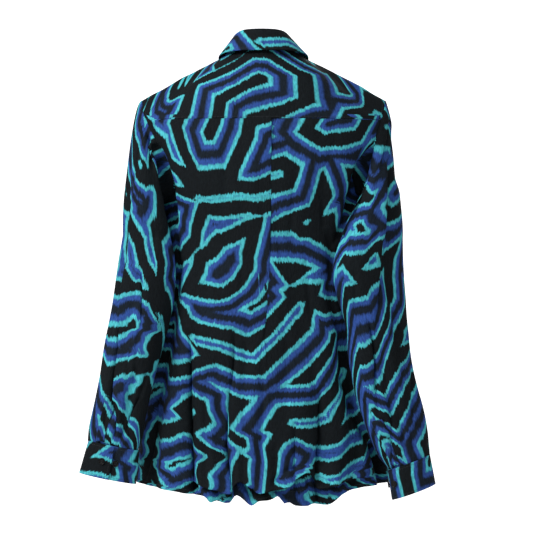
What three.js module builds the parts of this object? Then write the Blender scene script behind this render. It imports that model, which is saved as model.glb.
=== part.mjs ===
// A long-sleeved printed shirt that hangs filled out with no wearer: buttoned front, turned-down
// collar on a stand, back yoke with a centre pleat, and buttoned cuffs.
// Millimetres. +X is the wearer's right, +Y the wearer's front, +Z up. The origin is the middle of
// the neck opening, where a neck and shoulders hold the shirt up.
// A turn is a share of the way round the body: 0 at centre back, 0.25 at the wearer's right side,
// -0.25 at the left side, and 0.5 or -0.5 at centre front.
import * as THREE from "three";

// Cloth and seams
const CLOTH = 1.2;
const CUFF_CLOTH = 1.8;
const SEAM_INSET = 0.3;
const LAYER = 2.2;

// Torso: the rings of the yoke, then of the body, each with its heights at back, side and front.
// ridge is how far round the shoulder ridge spreads, in turns. squareness is the ring's exponent.
const NECK = {
  back: 20, side: 8, front: -45, ridge: 0.13,
  halfWidth: 66, depthBack: 64, depthFront: 66, squareness: 2.0,
};
const SHOULDER = {
  back: -102, side: -66, front: -100, ridge: 0.03,
  halfWidth: 206, depthBack: 104, depthFront: 88, squareness: 2.3,
};
const YOKE_BULGE = 6;
const YOKE_LIFT = 2.5;
const BODY = [
  { station: 1, ...SHOULDER },
  { station: 2, back: -160, side: -150, front: -158, ridge: 0.05, halfWidth: 202, depthBack: 111, depthFront: 104, squareness: 2.4 },
  { station: 3, back: -214, side: -212, front: -214, ridge: 0.1, halfWidth: 185, depthBack: 114, depthFront: 111, squareness: 2.4 },
  { station: 4, back: -243, side: -243, front: -243, ridge: 0.1, halfWidth: 176, depthBack: 114, depthFront: 113, squareness: 2.37 },
  { station: 5, back: -337, side: -337, front: -337, ridge: 0.1, halfWidth: 162, depthBack: 112, depthFront: 116, squareness: 2.3 },
  { station: 6, back: -440, side: -440, front: -440, ridge: 0.1, halfWidth: 171, depthBack: 111, depthFront: 116, squareness: 2.3 },
  { station: 7, back: -541, side: -541, front: -541, ridge: 0.1, halfWidth: 193, depthBack: 113, depthFront: 118, squareness: 2.3 },
  { station: 8, back: -640, side: -638, front: -640, ridge: 0.1, halfWidth: 210, depthBack: 117, depthFront: 121, squareness: 2.25 },
  { station: 9, back: -730, side: -712, front: -734, ridge: 0.09, halfWidth: 216, depthBack: 120, depthFront: 124, squareness: 2.2 },
];
// The armhole's edges on the back and front panels, down to the armpit at station 4.
const ARMPIT = 4;
const ARMHOLE = [
  { station: 1, back: 0.2, front: 0.3 },
  { station: 1.5, back: 0.178, front: 0.322 },
  { station: 2, back: 0.168, front: 0.335 },
  { station: 2.5, back: 0.17, front: 0.332 },
  { station: 3, back: 0.184, front: 0.318 },
];

// Centre back pleat: overlap is how far the fold laps past the middle, and below 0 it has opened.
const PLEAT = [
  { height: -102, overlap: 13 },
  { height: -300, overlap: 11 },
  { height: -420, overlap: 5 },
  { height: -507, overlap: -6 },
  { height: -740, overlap: -12 },
];
const PLEAT_ZONE = 30;

// Hanging folds of the body: troughs that start at top and are deepest at the hem.
const DRAPE = [
  { top: -420, turnTop: -0.118, turnHem: -0.086, width: 0.011, depth: 13 },
  { top: -450, turnTop: -0.06, turnHem: -0.043, width: 0.009, depth: 11 },
  { top: -500, turnTop: 0.074, turnHem: 0.068, width: 0.01, depth: 10 },
  { top: -400, turnTop: 0.14, turnHem: 0.118, width: 0.013, depth: 14 },
  { top: -330, turnTop: -0.175, turnHem: -0.165, width: 0.016, depth: 12 },
  { top: -330, turnTop: 0.195, turnHem: 0.19, width: 0.016, depth: 12 },
  { top: -380, turnTop: 0.31, turnHem: 0.315, width: 0.013, depth: 12 },
  { top: -430, turnTop: 0.395, turnHem: 0.405, width: 0.011, depth: 10 },
  { top: -400, turnTop: -0.3, turnHem: -0.305, width: 0.013, depth: 12 },
  { top: -450, turnTop: -0.385, turnHem: -0.4, width: 0.011, depth: 10 },
];
const DRAPE_FADE = 190;

// The back hem: its height across the back, and how far the tail has crumpled up there.
const HEM = [
  { across: -214, height: -716, crumple: 0 },
  { across: -162, height: -724, crumple: 0 },
  { across: -97, height: -731, crumple: 0.3 },
  { across: -67, height: -743, crumple: 0.9 },
  { across: -41, height: -727, crumple: 0.4 },
  { across: -17, height: -735, crumple: 0.7 },
  { across: 8, height: -730, crumple: 0.4 },
  { across: 47, height: -741, crumple: 1 },
  { across: 77, height: -733, crumple: 0.7 },
  { across: 98, height: -737, crumple: 0.9 },
  { across: 128, height: -731, crumple: 0.5 },
  { across: 150, height: -722, crumple: 0.1 },
  { across: 214, height: -712, crumple: 0 },
];
// Rows of the crumpled tail, from above it to the hem: share is the row's place where it lies flat,
// rise and out are where the crumple lifts it and pushes it.
const CRUMPLE_TOP = -668;
const CRUMPLE = [
  { share: 0, rise: 0, out: 0 },
  { share: 0.3, rise: -4, out: 4 },
  { share: 0.5, rise: -9, out: 10 },
  { share: 0.6, rise: -9, out: 13 },
  { share: 0.68, rise: 5, out: 7 },
  { share: 0.78, rise: 6, out: 2 },
  { share: 1, rise: 0, out: 5 },
];

// Buttoned front: the left front laps over the right one, with a placket band along its edge.
const FRONT_LAP = 16;
const FRONT_BLEND = 45;
const FRONT_LIFT = 0.95;
const PLACKET_LIFT = CLOTH + 0.35;

// Collar: the fold line on top of the stand, and the free edge of the turned-down leaf.
const FOLD_LINE = {
  back: 46, side: 33, front: -16, ridge: 0.11,
  halfWidth: 51, depthBack: 60, depthFront: 60, squareness: 2.0,
};
const STAND_LAP = 0.035;
const LEAF_END = 0.488;
const LEAF_ROLL = [
  { out: 0, up: 1.4 },
  { out: 0.7, up: 3.3 },
  { out: 2.6, up: 4.3 },
  { out: 4.6, up: 3 },
];
const LEAF_EDGE = [
  { turn: 0, across: 0, forward: -77, height: 13.6 },
  { turn: 0.06, across: 32, forward: -74, height: 13.6 },
  { turn: 0.12, across: 55, forward: -61, height: 12.8 },
  { turn: 0.18, across: 69, forward: -37, height: 11 },
  { turn: 0.25, across: 76, forward: -1, height: 7.5 },
  { turn: 0.32, across: 74, forward: 36, height: -7 },
  { turn: 0.4, across: 63, forward: 66, height: -38 },
  { turn: 0.49, across: 43, forward: 88, height: -76 },
];
const LEAF_BELLY = 1;

// Sleeves, in the sleeve's own outward direction: the centre, the long and short half sizes, the
// long half's swing towards the front and the section's tilt, both in degrees.
const RIGHT_SLEEVE = [
  { height: -300, out: 176, forward: -52, long: 62, short: 47, swing: 32, tilt: 2 },
  { height: -345, out: 174, forward: -59, long: 70, short: 44, swing: 36, tilt: 3 },
  { height: -390, out: 179, forward: -61, long: 67, short: 43, swing: 36, tilt: 5 },
  { height: -440, out: 188, forward: -63, long: 57, short: 43, swing: 32, tilt: 6 },
  { height: -491, out: 193, forward: -67, long: 57, short: 41, swing: 28, tilt: 8 },
  { height: -541, out: 201, forward: -72, long: 56, short: 38, swing: 24, tilt: 10 },
  { height: -592, out: 215, forward: -76, long: 53, short: 35, swing: 20, tilt: 14 },
  { height: -640, out: 231, forward: -78, long: 47, short: 32, swing: 16, tilt: 17 },
  { height: -672.6, out: 241.8, forward: -78, long: 37.5, short: 28, swing: 12, tilt: 19.5 },
];
const LEFT_SLEEVE = [
  { height: -296, out: 191, forward: -34, long: 46, short: 48, swing: 20, tilt: 2 },
  { height: -337, out: 192, forward: -42, long: 52, short: 47, swing: 24, tilt: 4 },
  { height: -388, out: 198, forward: -50, long: 54, short: 45, swing: 26, tilt: 6 },
  { height: -439, out: 208, forward: -57, long: 52, short: 43, swing: 26, tilt: 8 },
  { height: -490, out: 219, forward: -64, long: 50, short: 40, swing: 24, tilt: 9 },
  { height: -541, out: 229.5, forward: -69, long: 46.5, short: 36, swing: 20, tilt: 10 },
  { height: -592, out: 240, forward: -72, long: 45.5, short: 32, swing: 16, tilt: 11 },
  { height: -626, out: 247, forward: -73, long: 45, short: 28, swing: 12, tilt: 11 },
  { height: -645.5, out: 250.5, forward: -73, long: 43, short: 20.5, swing: 8, tilt: 11 },
];
const CAP_ROWS = 6;
const SLEEVE_STEP = 28;
const RIGHT_CAP_PUSH = 36;
const LEFT_CAP_PUSH = 54;
const CAP_DROOP = 0.42;
const UNDERARM = 45;
const SLEEVE_GAP = 0.9;
const CAP_FLARE = 0.5;
const BACK_SWEEP = 212;
const SLEEVE_CLEARANCE = 9;
const CLEARANCE_SLOPE = 0.3;
// Folds along the sleeves: angle round from the outer side towards the back, in degrees.
const RIGHT_FOLDS = [
  { angle: 2, width: 30, depth: 6, top: -100, end: -225 },
  { angle: 44, width: 12, depth: 9, top: -120, end: -560 },
  { angle: 78, width: 14, depth: 6, top: -420, end: -660 },
  { angle: 118, width: 16, depth: 8, top: -150, end: -330 },
  { angle: 250, width: 18, depth: 8, top: -200, end: -600 },
  { angle: 318, width: 16, depth: 6, top: -300, end: -640 },
];
const LEFT_FOLDS = [
  { angle: 24, width: 12, depth: 7, top: -130, end: -520 },
  { angle: 66, width: 13, depth: 7, top: -330, end: -640 },
  { angle: 104, width: 12, depth: 9, top: -500, end: -650 },
  { angle: 240, width: 18, depth: 8, top: -220, end: -600 },
  { angle: 310, width: 16, depth: 6, top: -300, end: -640 },
];

// Cuffs: bands that lap over themselves. edge is the angle where the upper end stops.
const RIGHT_CUFF = {
  height: -698, out: 245.5, forward: -79, long: 38.5, short: 29, swing: 12, tilt: 19.5,
  lean: 10, depth: 50, flare: 0.5, edge: 155, buttons: [28, 4],
};
const LEFT_CUFF = {
  height: -673.5, out: 254, forward: -73, long: 45.5, short: 24, swing: 6, tilt: 11,
  lean: 11, depth: 56, flare: 2.5, edge: 90, buttons: [28, 3],
};
const CUFF_LAP = 38;
const CUFF_LIFT = 1.6;
const CUFF_COLUMNS = 30;
const SLIT_ANGLE = 27;
const SLIT_ROWS = 4;
const SLIT_END = 0.05;
const SLIT_LIFT = CLOTH + 0.4;

// Buttons
const BUTTON_RADIUS = 5.5;
const BUTTON_THICKNESS = 2.4;
const BUTTON_SIDES = 14;
const FRONT_BUTTONS = [-78, -160, -245, -330, -415, -500, -585];
const BUTTON_GAP = 0.4;

// Colours
const PRINT = { color: 0x14181c, roughness: 0.75 };
const BUTTON = { color: 0x0b0b0c, roughness: 0.35 };

const FULL_TURN = 2 * Math.PI;
const radians = (degrees) => (degrees * Math.PI) / 180;
const lerp = (a, b, t) => a + (b - a) * t;
const smooth = (a, b, x) => {
  const t = Math.min(Math.max((x - a) / (b - a), 0), 1);
  return t * t * (3 - 2 * t);
};
const hill = (x) => Math.exp(-x * x);
const power = (value, exponent) => Math.sign(value) * Math.abs(value) ** exponent;

// A smooth curve through every column of a table, read at one value of its key column.
function rowAt(table, key, at) {
  const last = table.length - 1;
  const rising = table[last][key] > table[0][key];
  let i = 0;
  while (i < last - 1 && (rising ? table[i + 1][key] < at : table[i + 1][key] > at)) i++;
  const [a, b, c, d] = [i - 1, i, i + 1, i + 2].map((n) => table[Math.min(Math.max(n, 0), last)]);
  const span = c[key] - b[key];
  const t = Math.min(Math.max((at - b[key]) / span, 0), 1);
  const row = {};
  for (const column of Object.keys(b)) {
    const leaving = ((c[column] - a[column]) / (c[key] - a[key])) * span;
    const arriving = ((d[column] - b[column]) / (d[key] - b[key])) * span;
    row[column] = hermite(b[column], leaving, c[column], arriving, t);
  }
  return row;
}

function hermite(from, leaving, to, arriving, t) {
  const [t2, t3] = [t * t, t * t * t];
  return (
    (2 * t3 - 3 * t2 + 1) * from + (t3 - 2 * t2 + t) * leaving +
    (3 * t2 - 2 * t3) * to + (t3 - t2) * arriving
  );
}

// The turn folded back into 0 to 0.5, the same on both sides of the body.
function sideTurn(turn) {
  const t = Math.abs(turn);
  return t > 0.5 ? 1 - t : t;
}

function ringPoint(ring, turn) {
  const [s, c] = [Math.sin(FULL_TURN * turn), Math.cos(FULL_TURN * turn)];
  const depth = c > 0 ? ring.depthBack : ring.depthFront;
  const end = c > 0 ? ring.back : ring.front;
  const ridge = hill((sideTurn(turn) - 0.25) / ring.ridge);
  const exponent = 2 / ring.squareness;
  return new THREE.Vector3(
    ring.halfWidth * power(s, exponent),
    -depth * power(c, exponent),
    lerp(end, ring.side, ridge),
  );
}

// The turn near centre back, or near centre front, at which a ring is that far across.
function turnAcross(ring, across, atFront) {
  const turn = Math.asin(power(across / ring.halfWidth, ring.squareness / 2)) / FULL_TURN;
  return atFront ? 0.5 - turn : turn;
}

const ringAt = (station) => rowAt(BODY, "station", station);

function yokePoint(turn, share) {
  const point = ringPoint(NECK, turn).lerp(ringPoint(SHOULDER, turn), share);
  const away = Math.cos(FULL_TURN * turn);
  point.y -= YOKE_BULGE * Math.sin(Math.PI * share) * away;
  point.z += YOKE_LIFT * Math.sin(Math.PI * share);
  return point;
}

// The body with its hanging folds. Below the yoke, stations 1 to 9; above it, the front runs on
// up to the neck at station 0.
function bodyPoint(station, turn) {
  if (station < 1) return yokePoint(turn, station);
  const ring = ringAt(station);
  const point = ringPoint(ring, turn);
  const outward = new THREE.Vector3(point.x / ring.halfWidth ** 2, point.y / ring.depthBack ** 2, 0);
  return point.addScaledVector(outward.normalize(), -drapeDepth(turn, point.z));
}

function drapeDepth(turn, height) {
  const around = turn > 0.5 ? turn - 1 : turn;
  let depth = 0;
  for (const fold of DRAPE) {
    const down = Math.min(Math.max((fold.top - height) / (fold.top + 730), 0), 1);
    const middle = lerp(fold.turnTop, fold.turnHem, down);
    const fade = smooth(0, DRAPE_FADE, fold.top - height);
    depth += fold.depth * fade * hill((around - middle) / fold.width);
  }
  return depth;
}

function armholeTurn(station, edge) {
  if (station >= ARMPIT) return 0.25;
  if (station <= 3) return rowAt(ARMHOLE, "station", Math.max(station, 1))[edge];
  const start = ARMHOLE[ARMHOLE.length - 1][edge];
  return lerp(0.25, start, Math.sqrt(1 - (station - 3) ** 2));
}

// Walls from grids of points. Rows run down and columns run anticlockwise seen from above, or the
// other way round when mirrored, so that the normal points out of the garment.
function gridNormals(grid, mirrored, closed) {
  const [rows, columns] = [grid.length, grid[0].length];
  const wrap = (j) => (closed ? (j + columns) % columns : Math.min(Math.max(j, 0), columns - 1));
  return grid.map((row, i) =>
    row.map((_, j) => {
      const down = grid[Math.min(i + 1, rows - 1)][j].clone().sub(grid[Math.max(i - 1, 0)][j]);
      const across = row[wrap(j + 1)].clone().sub(row[wrap(j - 1)]);
      return down.cross(across).normalize().multiplyScalar(mirrored ? -1 : 1);
    }),
  );
}

function moved(grid, lift, { mirrored = false, closed = false } = {}) {
  const normals = gridNormals(grid, mirrored, closed);
  return grid.map((row, i) => row.map((point, j) => {
    const distance = typeof lift === "function" ? lift(i, j) : lift;
    return point.clone().addScaledVector(normals[i][j], distance);
  }));
}

// Draws the outermost rows and columns in a little, so that sewn pieces don't touch.
function insetEdges(grid, closed) {
  const [lastRow, lastColumn] = [grid.length - 1, grid[0].length - 1];
  const pull = (point, towards) => point.add(towards.clone().sub(point).setLength(SEAM_INSET));
  grid[0].forEach((point, j) => pull(point, grid[1][j]));
  grid[lastRow].forEach((point, j) => pull(point, grid[lastRow - 1][j]));
  if (closed) return grid;
  grid.forEach((row) => {
    pull(row[0], row[1]);
    pull(row[lastColumn], row[lastColumn - 1]);
  });
  return grid;
}

function wall(points, { thickness = CLOTH, mirrored = false, closed = false, inset = true } = {}) {
  const grid = points.map((row) => row.map((point) => point.clone()));
  if (inset) insetEdges(grid, closed);
  const sides = [thickness / 2, -thickness / 2].map((lift) => moved(grid, lift, { mirrored, closed }));
  const [rows, columns] = [grid.length, grid[0].length];
  const positions = sides.flat(2).flatMap((point) => point.toArray());
  const at = (side, i, j) => side * rows * columns + i * columns + (j % columns);
  const faces = [];
  const quad = (a, b, c, d) => faces.push(...(mirrored ? [a, c, b, a, d, c] : [a, b, c, a, c, d]));
  const lastJ = closed ? columns : columns - 1;
  for (let i = 0; i < rows - 1; i++) {
    for (let j = 0; j < lastJ; j++) {
      quad(at(0, i, j), at(0, i + 1, j), at(0, i + 1, j + 1), at(0, i, j + 1));
      quad(at(1, i, j), at(1, i, j + 1), at(1, i + 1, j + 1), at(1, i + 1, j));
    }
    if (closed) continue;
    quad(at(0, i, 0), at(1, i, 0), at(1, i + 1, 0), at(0, i + 1, 0));
    quad(at(0, i, lastJ), at(0, i + 1, lastJ), at(1, i + 1, lastJ), at(1, i, lastJ));
  }
  for (let j = 0; j < lastJ; j++) {
    quad(at(0, 0, j), at(0, 0, j + 1), at(1, 0, j + 1), at(1, 0, j));
    quad(at(0, rows - 1, j), at(1, rows - 1, j), at(1, rows - 1, j + 1), at(0, rows - 1, j + 1));
  }
  const geometry = new THREE.BufferGeometry();
  geometry.setAttribute("position", new THREE.Float32BufferAttribute(positions, 3));
  geometry.setIndex(faces);
  return geometry;
}

const shirt = new THREE.Group();

function addPiece(name, geometry, material = PRINT) {
  const mesh = new THREE.Mesh(geometry, new THREE.MeshStandardMaterial(material));
  mesh.name = name;
  geometry.computeVertexNormals();
  shirt.add(mesh);
}

const steps = (from, to, count) =>
  Array.from({ length: count + 1 }, (_, i) => lerp(from, to, i / count));

// Stations of the rows that the back and fronts share, so that their side seams meet.
const ARMHOLE_STATIONS = [1, 1.4, 1.8, 2.2, 2.6, 3, 3.4, 3.7, 3.92, 4];
const LOWER_STATIONS = [4.4, 4.8, 5.2, 5.6, 6, 6.4, 6.8, 7.2, 7.6, 8, 8.3];
const BODY_STATIONS = [...ARMHOLE_STATIONS, ...LOWER_STATIONS];
const YOKE_SHOULDER = [0.2, 0.216, 0.232, 0.25, 0.268, 0.284, 0.3];

// The yoke covers the upper back and both shoulders, to a seam just in front of them.
function yoke() {
  const half = [0, 0.03, 0.06, 0.09, 0.12, 0.15, 0.178, ...YOKE_SHOULDER];
  const turns = [...half.slice(1).reverse().map((turn) => -turn), ...half];
  return wall(steps(0, 1, 4).map((share) => turns.map((turn) => yokePoint(turn, share))));
}

// Points across the back from the left edge to the right one, with the pleat's three layers.
function pleatColumns(height) {
  const { overlap } = rowAt(PLEAT, "height", Math.min(height, PLEAT[0].height));
  const fold = smooth(-3, 3, overlap);
  const lift = LAYER * smooth(-11, 0, overlap);
  const [lip, tuck] = [overlap + 0.6 * fold, overlap + 0.5 - fold];
  return [
    { across: -PLEAT_ZONE, lift: 0.4 * lift },
    { across: -14, lift },
    { across: overlap - 0.5, lift },
    { across: lip, lift: lift / 2 },
    { across: tuck, lift: 0 },
    { across: -tuck, lift: 0 },
    { across: -lip, lift: -lift / 2 },
    { across: 0.5 - overlap, lift: -lift },
    { across: 14, lift: -lift },
    { across: PLEAT_ZONE, lift: -0.4 * lift },
  ];
}

const BACK_HALF_COLUMNS = 15;

function backRow(station) {
  const ring = ringAt(station);
  const edge = armholeTurn(station, "back");
  const inner = turnAcross(ring, PLEAT_ZONE, false);
  const side = steps(inner, edge, BACK_HALF_COLUMNS).slice(1);
  const columns = [
    ...side.map((turn) => ({ turn: -turn, lift: 0 })).reverse(),
    ...pleatColumns(ring.back).map(({ across, lift }) => ({
      turn: turnAcross(ring, across, false),
      lift,
    })),
    ...side.map((turn) => ({ turn, lift: 0 })),
  ];
  return columns.map(({ turn, lift }) => {
    const point = bodyPoint(station, turn);
    point.y -= lift;
    return point;
  });
}

// The rows of the tail, below the last plain station: flat at the sides, crumpled at the middle.
function tailRow(station, row) {
  const points = backRow(station);
  return points.map((point) => {
    const { height, crumple } = rowAt(HEM, "across", point.x);
    const flat = lerp(CRUMPLE_TOP, height, row.share);
    point.z = flat + row.rise * crumple;
    point.y -= row.out * crumple;
    return point;
  });
}

function back() {
  const upper = BODY_STATIONS.slice(0, -1).map(backRow);
  const tail = CRUMPLE.map((row) => tailRow(lerp(8.3, 9, row.share), row));
  return wall([...upper, ...tail]);
}

const FRONT_COLUMNS = 12;
const UPPER_FRONT = [0, 0.33, 0.67];

const neckToShoulder = (share) => ({
  halfWidth: lerp(NECK.halfWidth, SHOULDER.halfWidth, share),
  squareness: lerp(NECK.squareness, SHOULDER.squareness, share),
});

// One front, as a grid of points on the body whose last three columns are the lapped strip. side
// is 1 for the wearer's right front.
function frontGrid(side) {
  const stations = [...UPPER_FRONT, ...BODY_STATIONS, 8.65, 9];
  return stations.map((station) => {
    const ring = station < 1 ? neckToShoulder(station) : ringAt(station);
    const edge = station < 1 ? YOKE_SHOULDER.at(-1) : armholeTurn(station, "front");
    const strip = [FRONT_LAP, 0, -FRONT_LAP].map((across) => turnAcross(ring, across, true));
    const turns = [...steps(edge, strip[0], FRONT_COLUMNS).slice(0, -1), ...strip];
    const row = turns.map((turn) => bodyPoint(station, side * turn));
    row.forEach((point) => {
      const near = 1 - smooth(FRONT_LAP, FRONT_BLEND, side * point.x);
      point.y -= side * FRONT_LIFT * near;
    });
    return side > 0 ? row : row.reverse();
  });
}

function placketGrid() {
  return moved(frontGrid(-1), PLACKET_LIFT).map((row) => row.slice(0, 3));
}

// The stand rises from the neck seam to the fold line and laps over at centre front.
function stand() {
  const turns = steps(-0.5 - STAND_LAP, 0.5 + STAND_LAP, 34);
  const grid = steps(0, 1, 2).map((share) =>
    turns.map((turn) => {
      const point = ringPoint(NECK, turn).lerp(ringPoint(FOLD_LINE, turn), share);
      point.z += 0.4;
      return point;
    }),
  );
  const lap = (j) => {
    const turn = turns[j];
    return -Math.sign(turn) * FRONT_LIFT * smooth(0.44, 0.5, Math.abs(turn));
  };
  return wall(moved(grid, (i, j) => lap(j)));
}

function leafPoint(turn, share) {
  const fold = ringPoint(FOLD_LINE, turn);
  const away = new THREE.Vector3(fold.x, fold.y, 0).normalize();
  const last = LEAF_ROLL.at(-1);
  const start = fold.clone().addScaledVector(away, last.out);
  start.z += last.up;
  const edge = rowAt(LEAF_EDGE, "turn", Math.abs(turn));
  const free = new THREE.Vector3(Math.sign(turn) * edge.across, edge.forward, edge.height);
  const point = start.lerp(free, share);
  return point.addScaledVector(away, LEAF_BELLY * Math.sin(Math.PI * share));
}

// The leaf rolls over the top of the stand and turns down to its free edge.
function leaf() {
  const turns = steps(-LEAF_END, LEAF_END, 36);
  const roll = LEAF_ROLL.slice(0, -1).map(({ out, up }) =>
    turns.map((turn) => {
      const fold = ringPoint(FOLD_LINE, turn);
      const away = new THREE.Vector3(fold.x, fold.y, 0).normalize();
      return fold.addScaledVector(away, out).add(new THREE.Vector3(0, 0, up));
    }),
  );
  const fall = steps(0, 1, 4).map((share) => turns.map((turn) => leafPoint(turn, share)));
  return wall([...roll, ...fall]);
}

// The armhole's edge points, from the shoulder tip round the back to the armpit and up the front.
function armholeLoop(side) {
  const upper = YOKE_SHOULDER.map((turn) => yokePoint(side * turn, 1));
  const edgePoints = (edge) =>
    ARMHOLE_STATIONS.map((station) => bodyPoint(station, side * armholeTurn(station, edge)));
  const [backEdge, frontEdge] = [edgePoints("back"), edgePoints("front")];
  const loop = [
    upper[3], upper[2], upper[1],
    ...backEdge,
    ...frontEdge.slice(0, -1).reverse(),
    upper[5], upper[4],
  ];
  const bottom = 2 + backEdge.length;
  return { loop, bottom };
}

// Angles round the sleeve for each point of the armhole: 0 at the top, BACK_SWEEP at the armpit.
function loopAngles({ loop, bottom }) {
  const lengths = [0];
  for (let i = 1; i <= loop.length; i++) {
    lengths.push(lengths[i - 1] + loop[i % loop.length].distanceTo(loop[i - 1]));
  }
  const [down, whole] = [lengths[bottom], lengths[loop.length]];
  return loop.map((_, i) =>
    i <= bottom
      ? (BACK_SWEEP * lengths[i]) / down
      : BACK_SWEEP + ((360 - BACK_SWEEP) * (lengths[i] - down)) / (whole - down),
  );
}

// A point of a sleeve or cuff section at an angle round from its outer side towards the back.
function sectionPoint(section, side, angle, grow = 0) {
  const swing = radians(section.swing);
  const around = radians(-angle) - swing;
  const along = (section.long + grow) * Math.cos(around);
  const aside = (section.short + grow) * Math.sin(around);
  const outward = along * Math.cos(swing) - aside * Math.sin(swing);
  const forward = along * Math.sin(swing) + aside * Math.cos(swing);
  const tilt = radians(section.tilt);
  return new THREE.Vector3(
    side * (section.out + outward * Math.cos(tilt)),
    section.forward + forward,
    section.height + outward * Math.sin(tilt),
  );
}

// Moves a point of a sleeve out of the body, to at least that distance from its side.
function keepClear(point, distance) {
  const table = BODY.slice(1);
  const ring = rowAt(table, "side", Math.min(Math.max(point.z, table.at(-1).side), table[0].side));
  const depth = (point.y < 0 ? ring.depthBack : ring.depthFront) + distance;
  const width = ring.halfWidth + distance;
  const reach = Math.abs(point.x / width) ** ring.squareness + Math.abs(point.y / depth) ** ring.squareness;
  const radius = reach ** (1 / ring.squareness);
  if (radius >= 1) return point;
  point.x /= radius;
  point.y /= radius;
  return point;
}

function foldDepth(folds, angle, height) {
  let depth = 0;
  for (const fold of folds) {
    const length = fold.top - fold.end;
    const along = (fold.top - height) / length;
    const fade = smooth(0, 0.25, along) * (1 - smooth(0.75, 1, along));
    const apart = ((angle - fold.angle + 540) % 360) - 180;
    depth += fold.depth * fade * hill(apart / fold.width);
  }
  return depth;
}

// A sleeve's grid: the cap sweeps from the armhole to the first section, then the sections follow.
function sleeveGrid(side, table, folds, push, angles, loop) {
  const first = table[0];
  const downwards = new THREE.Vector3(0, 0, -1);
  const cap = steps(0, 1, CAP_ROWS).slice(0, -1).map((share) =>
    angles.map((angle, j) => {
      const from = loop[j].clone();
      const under = hill((angle - BACK_SWEEP) / UNDERARM);
      from.x += side * (SLEEVE_GAP + CLOTH * under);
      const to = sectionPoint(first, side, angle);
      const flare = -CAP_FLARE * Math.sin(radians(angle));
      const leave = new THREE.Vector3(side, flare, -CAP_DROOP).multiplyScalar(push);
      const arrive = downwards.clone().multiplyScalar(0.8 * from.distanceTo(to));
      const point = new THREE.Vector3(
        hermite(from.x, leave.x, to.x, arrive.x, share),
        hermite(from.y, leave.y, to.y, arrive.y, share),
        hermite(from.z, leave.z, to.z, arrive.z, share),
      );
      const away = Math.min(SLEEVE_CLEARANCE, CLEARANCE_SLOPE * point.distanceTo(loop[j]));
      return share > 0 ? keepClear(point, away) : point;
    }),
  );
  const length = table.at(-1).height - first.height;
  const count = Math.round(-length / SLEEVE_STEP);
  const arm = steps(first.height, table.at(-1).height, count).map((height) => {
    const section = rowAt(table, "height", height);
    return angles.map((angle) =>
      keepClear(sectionPoint(section, side, angle), SLEEVE_CLEARANCE));
  });
  const grid = [...cap, ...arm];
  const fold = (i, j) => (i < 1 ? 0 : -foldDepth(folds, angles[j], grid[i][j].z));
  const folded = moved(grid, fold, { mirrored: side > 0, closed: true });
  return folded.map((row, i) => row.map((point) => (i > 2 ? keepClear(point, SLEEVE_CLEARANCE) : point)));
}

// A cuff band, wound once round and lapped, the upper end on the outside.
function cuffPoint(cuff, side, angle, share, grow) {
  const lean = radians(cuff.lean);
  const point = sectionPoint(cuff, side, angle, grow + cuff.flare * (2 * share - 1));
  const down = cuff.depth * (share - 0.5);
  point.x += side * down * Math.sin(lean);
  point.z -= down * Math.cos(lean);
  return point;
}

function cuffGrid(cuff, side) {
  const angles = steps(cuff.edge - CUFF_LAP, cuff.edge + 360, CUFF_COLUMNS);
  return steps(0, 1, 2).map((share) =>
    angles.map((angle, j) => {
      const lift = lerp(-CUFF_LIFT, CUFF_LIFT, j / CUFF_COLUMNS);
      return cuffPoint(cuff, side, angle, share, lift);
    }),
  );
}

// The band along the slit above the cuff, on the sleeve's own points.
function slitBand(grid, angles, edge, mirrored) {
  const column = angles.findIndex((angle) => angle > edge - SLIT_ANGLE);
  const lifted = moved(grid, SLIT_LIFT, { mirrored, closed: true });
  const band = lifted.slice(-SLIT_ROWS).map((row) => row.slice(column - 2, column + 1));
  band.at(-1).forEach((point, j) => point.lerp(band.at(-2)[j], SLIT_END));
  return wall(band, { mirrored });
}

// A flat round button with a rim, facing along a direction.
function addButton(name, centre, facing) {
  const rim = 0.8;
  const profile = [
    [0, 0],
    [BUTTON_RADIUS, 0],
    [BUTTON_RADIUS, BUTTON_THICKNESS],
    [BUTTON_RADIUS - rim, BUTTON_THICKNESS],
    [BUTTON_RADIUS - 2 * rim, BUTTON_THICKNESS - 0.5],
    [0, BUTTON_THICKNESS - 0.5],
  ].map(([radius, height]) => new THREE.Vector2(radius, height));
  const geometry = new THREE.LatheGeometry(profile, BUTTON_SIDES);
  const upright = new THREE.Vector3(0, 1, 0);
  geometry.applyQuaternion(new THREE.Quaternion().setFromUnitVectors(upright, facing));
  geometry.translate(centre.x, centre.y, centre.z);
  addPiece(name, geometry, BUTTON);
}

function addFrontButtons() {
  const middle = placketGrid().map((row) => ({ height: row[1].z, forward: row[1].y }));
  FRONT_BUTTONS.forEach((height, i) => {
    const [here, above] = [height, height + 1].map((at) => rowAt(middle, "height", at).forward);
    const facing = new THREE.Vector3(0, 1, here - above).normalize();
    const centre = new THREE.Vector3(0, here, height).addScaledVector(facing, CLOTH / 2 + BUTTON_GAP);
    addButton(`button_front_${i + 1}`, centre, facing);
  });
  const [seam, fold] = [ringPoint(NECK, 0.5), ringPoint(FOLD_LINE, 0.5)];
  const facing = new THREE.Vector3(0, fold.z - seam.z, seam.y - fold.y).normalize();
  const centre = seam.lerp(fold, 0.5);
  centre.addScaledVector(facing, FRONT_LIFT + CLOTH / 2 + BUTTON_GAP + 0.2);
  addButton("button_collar", centre, facing);
}

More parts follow.
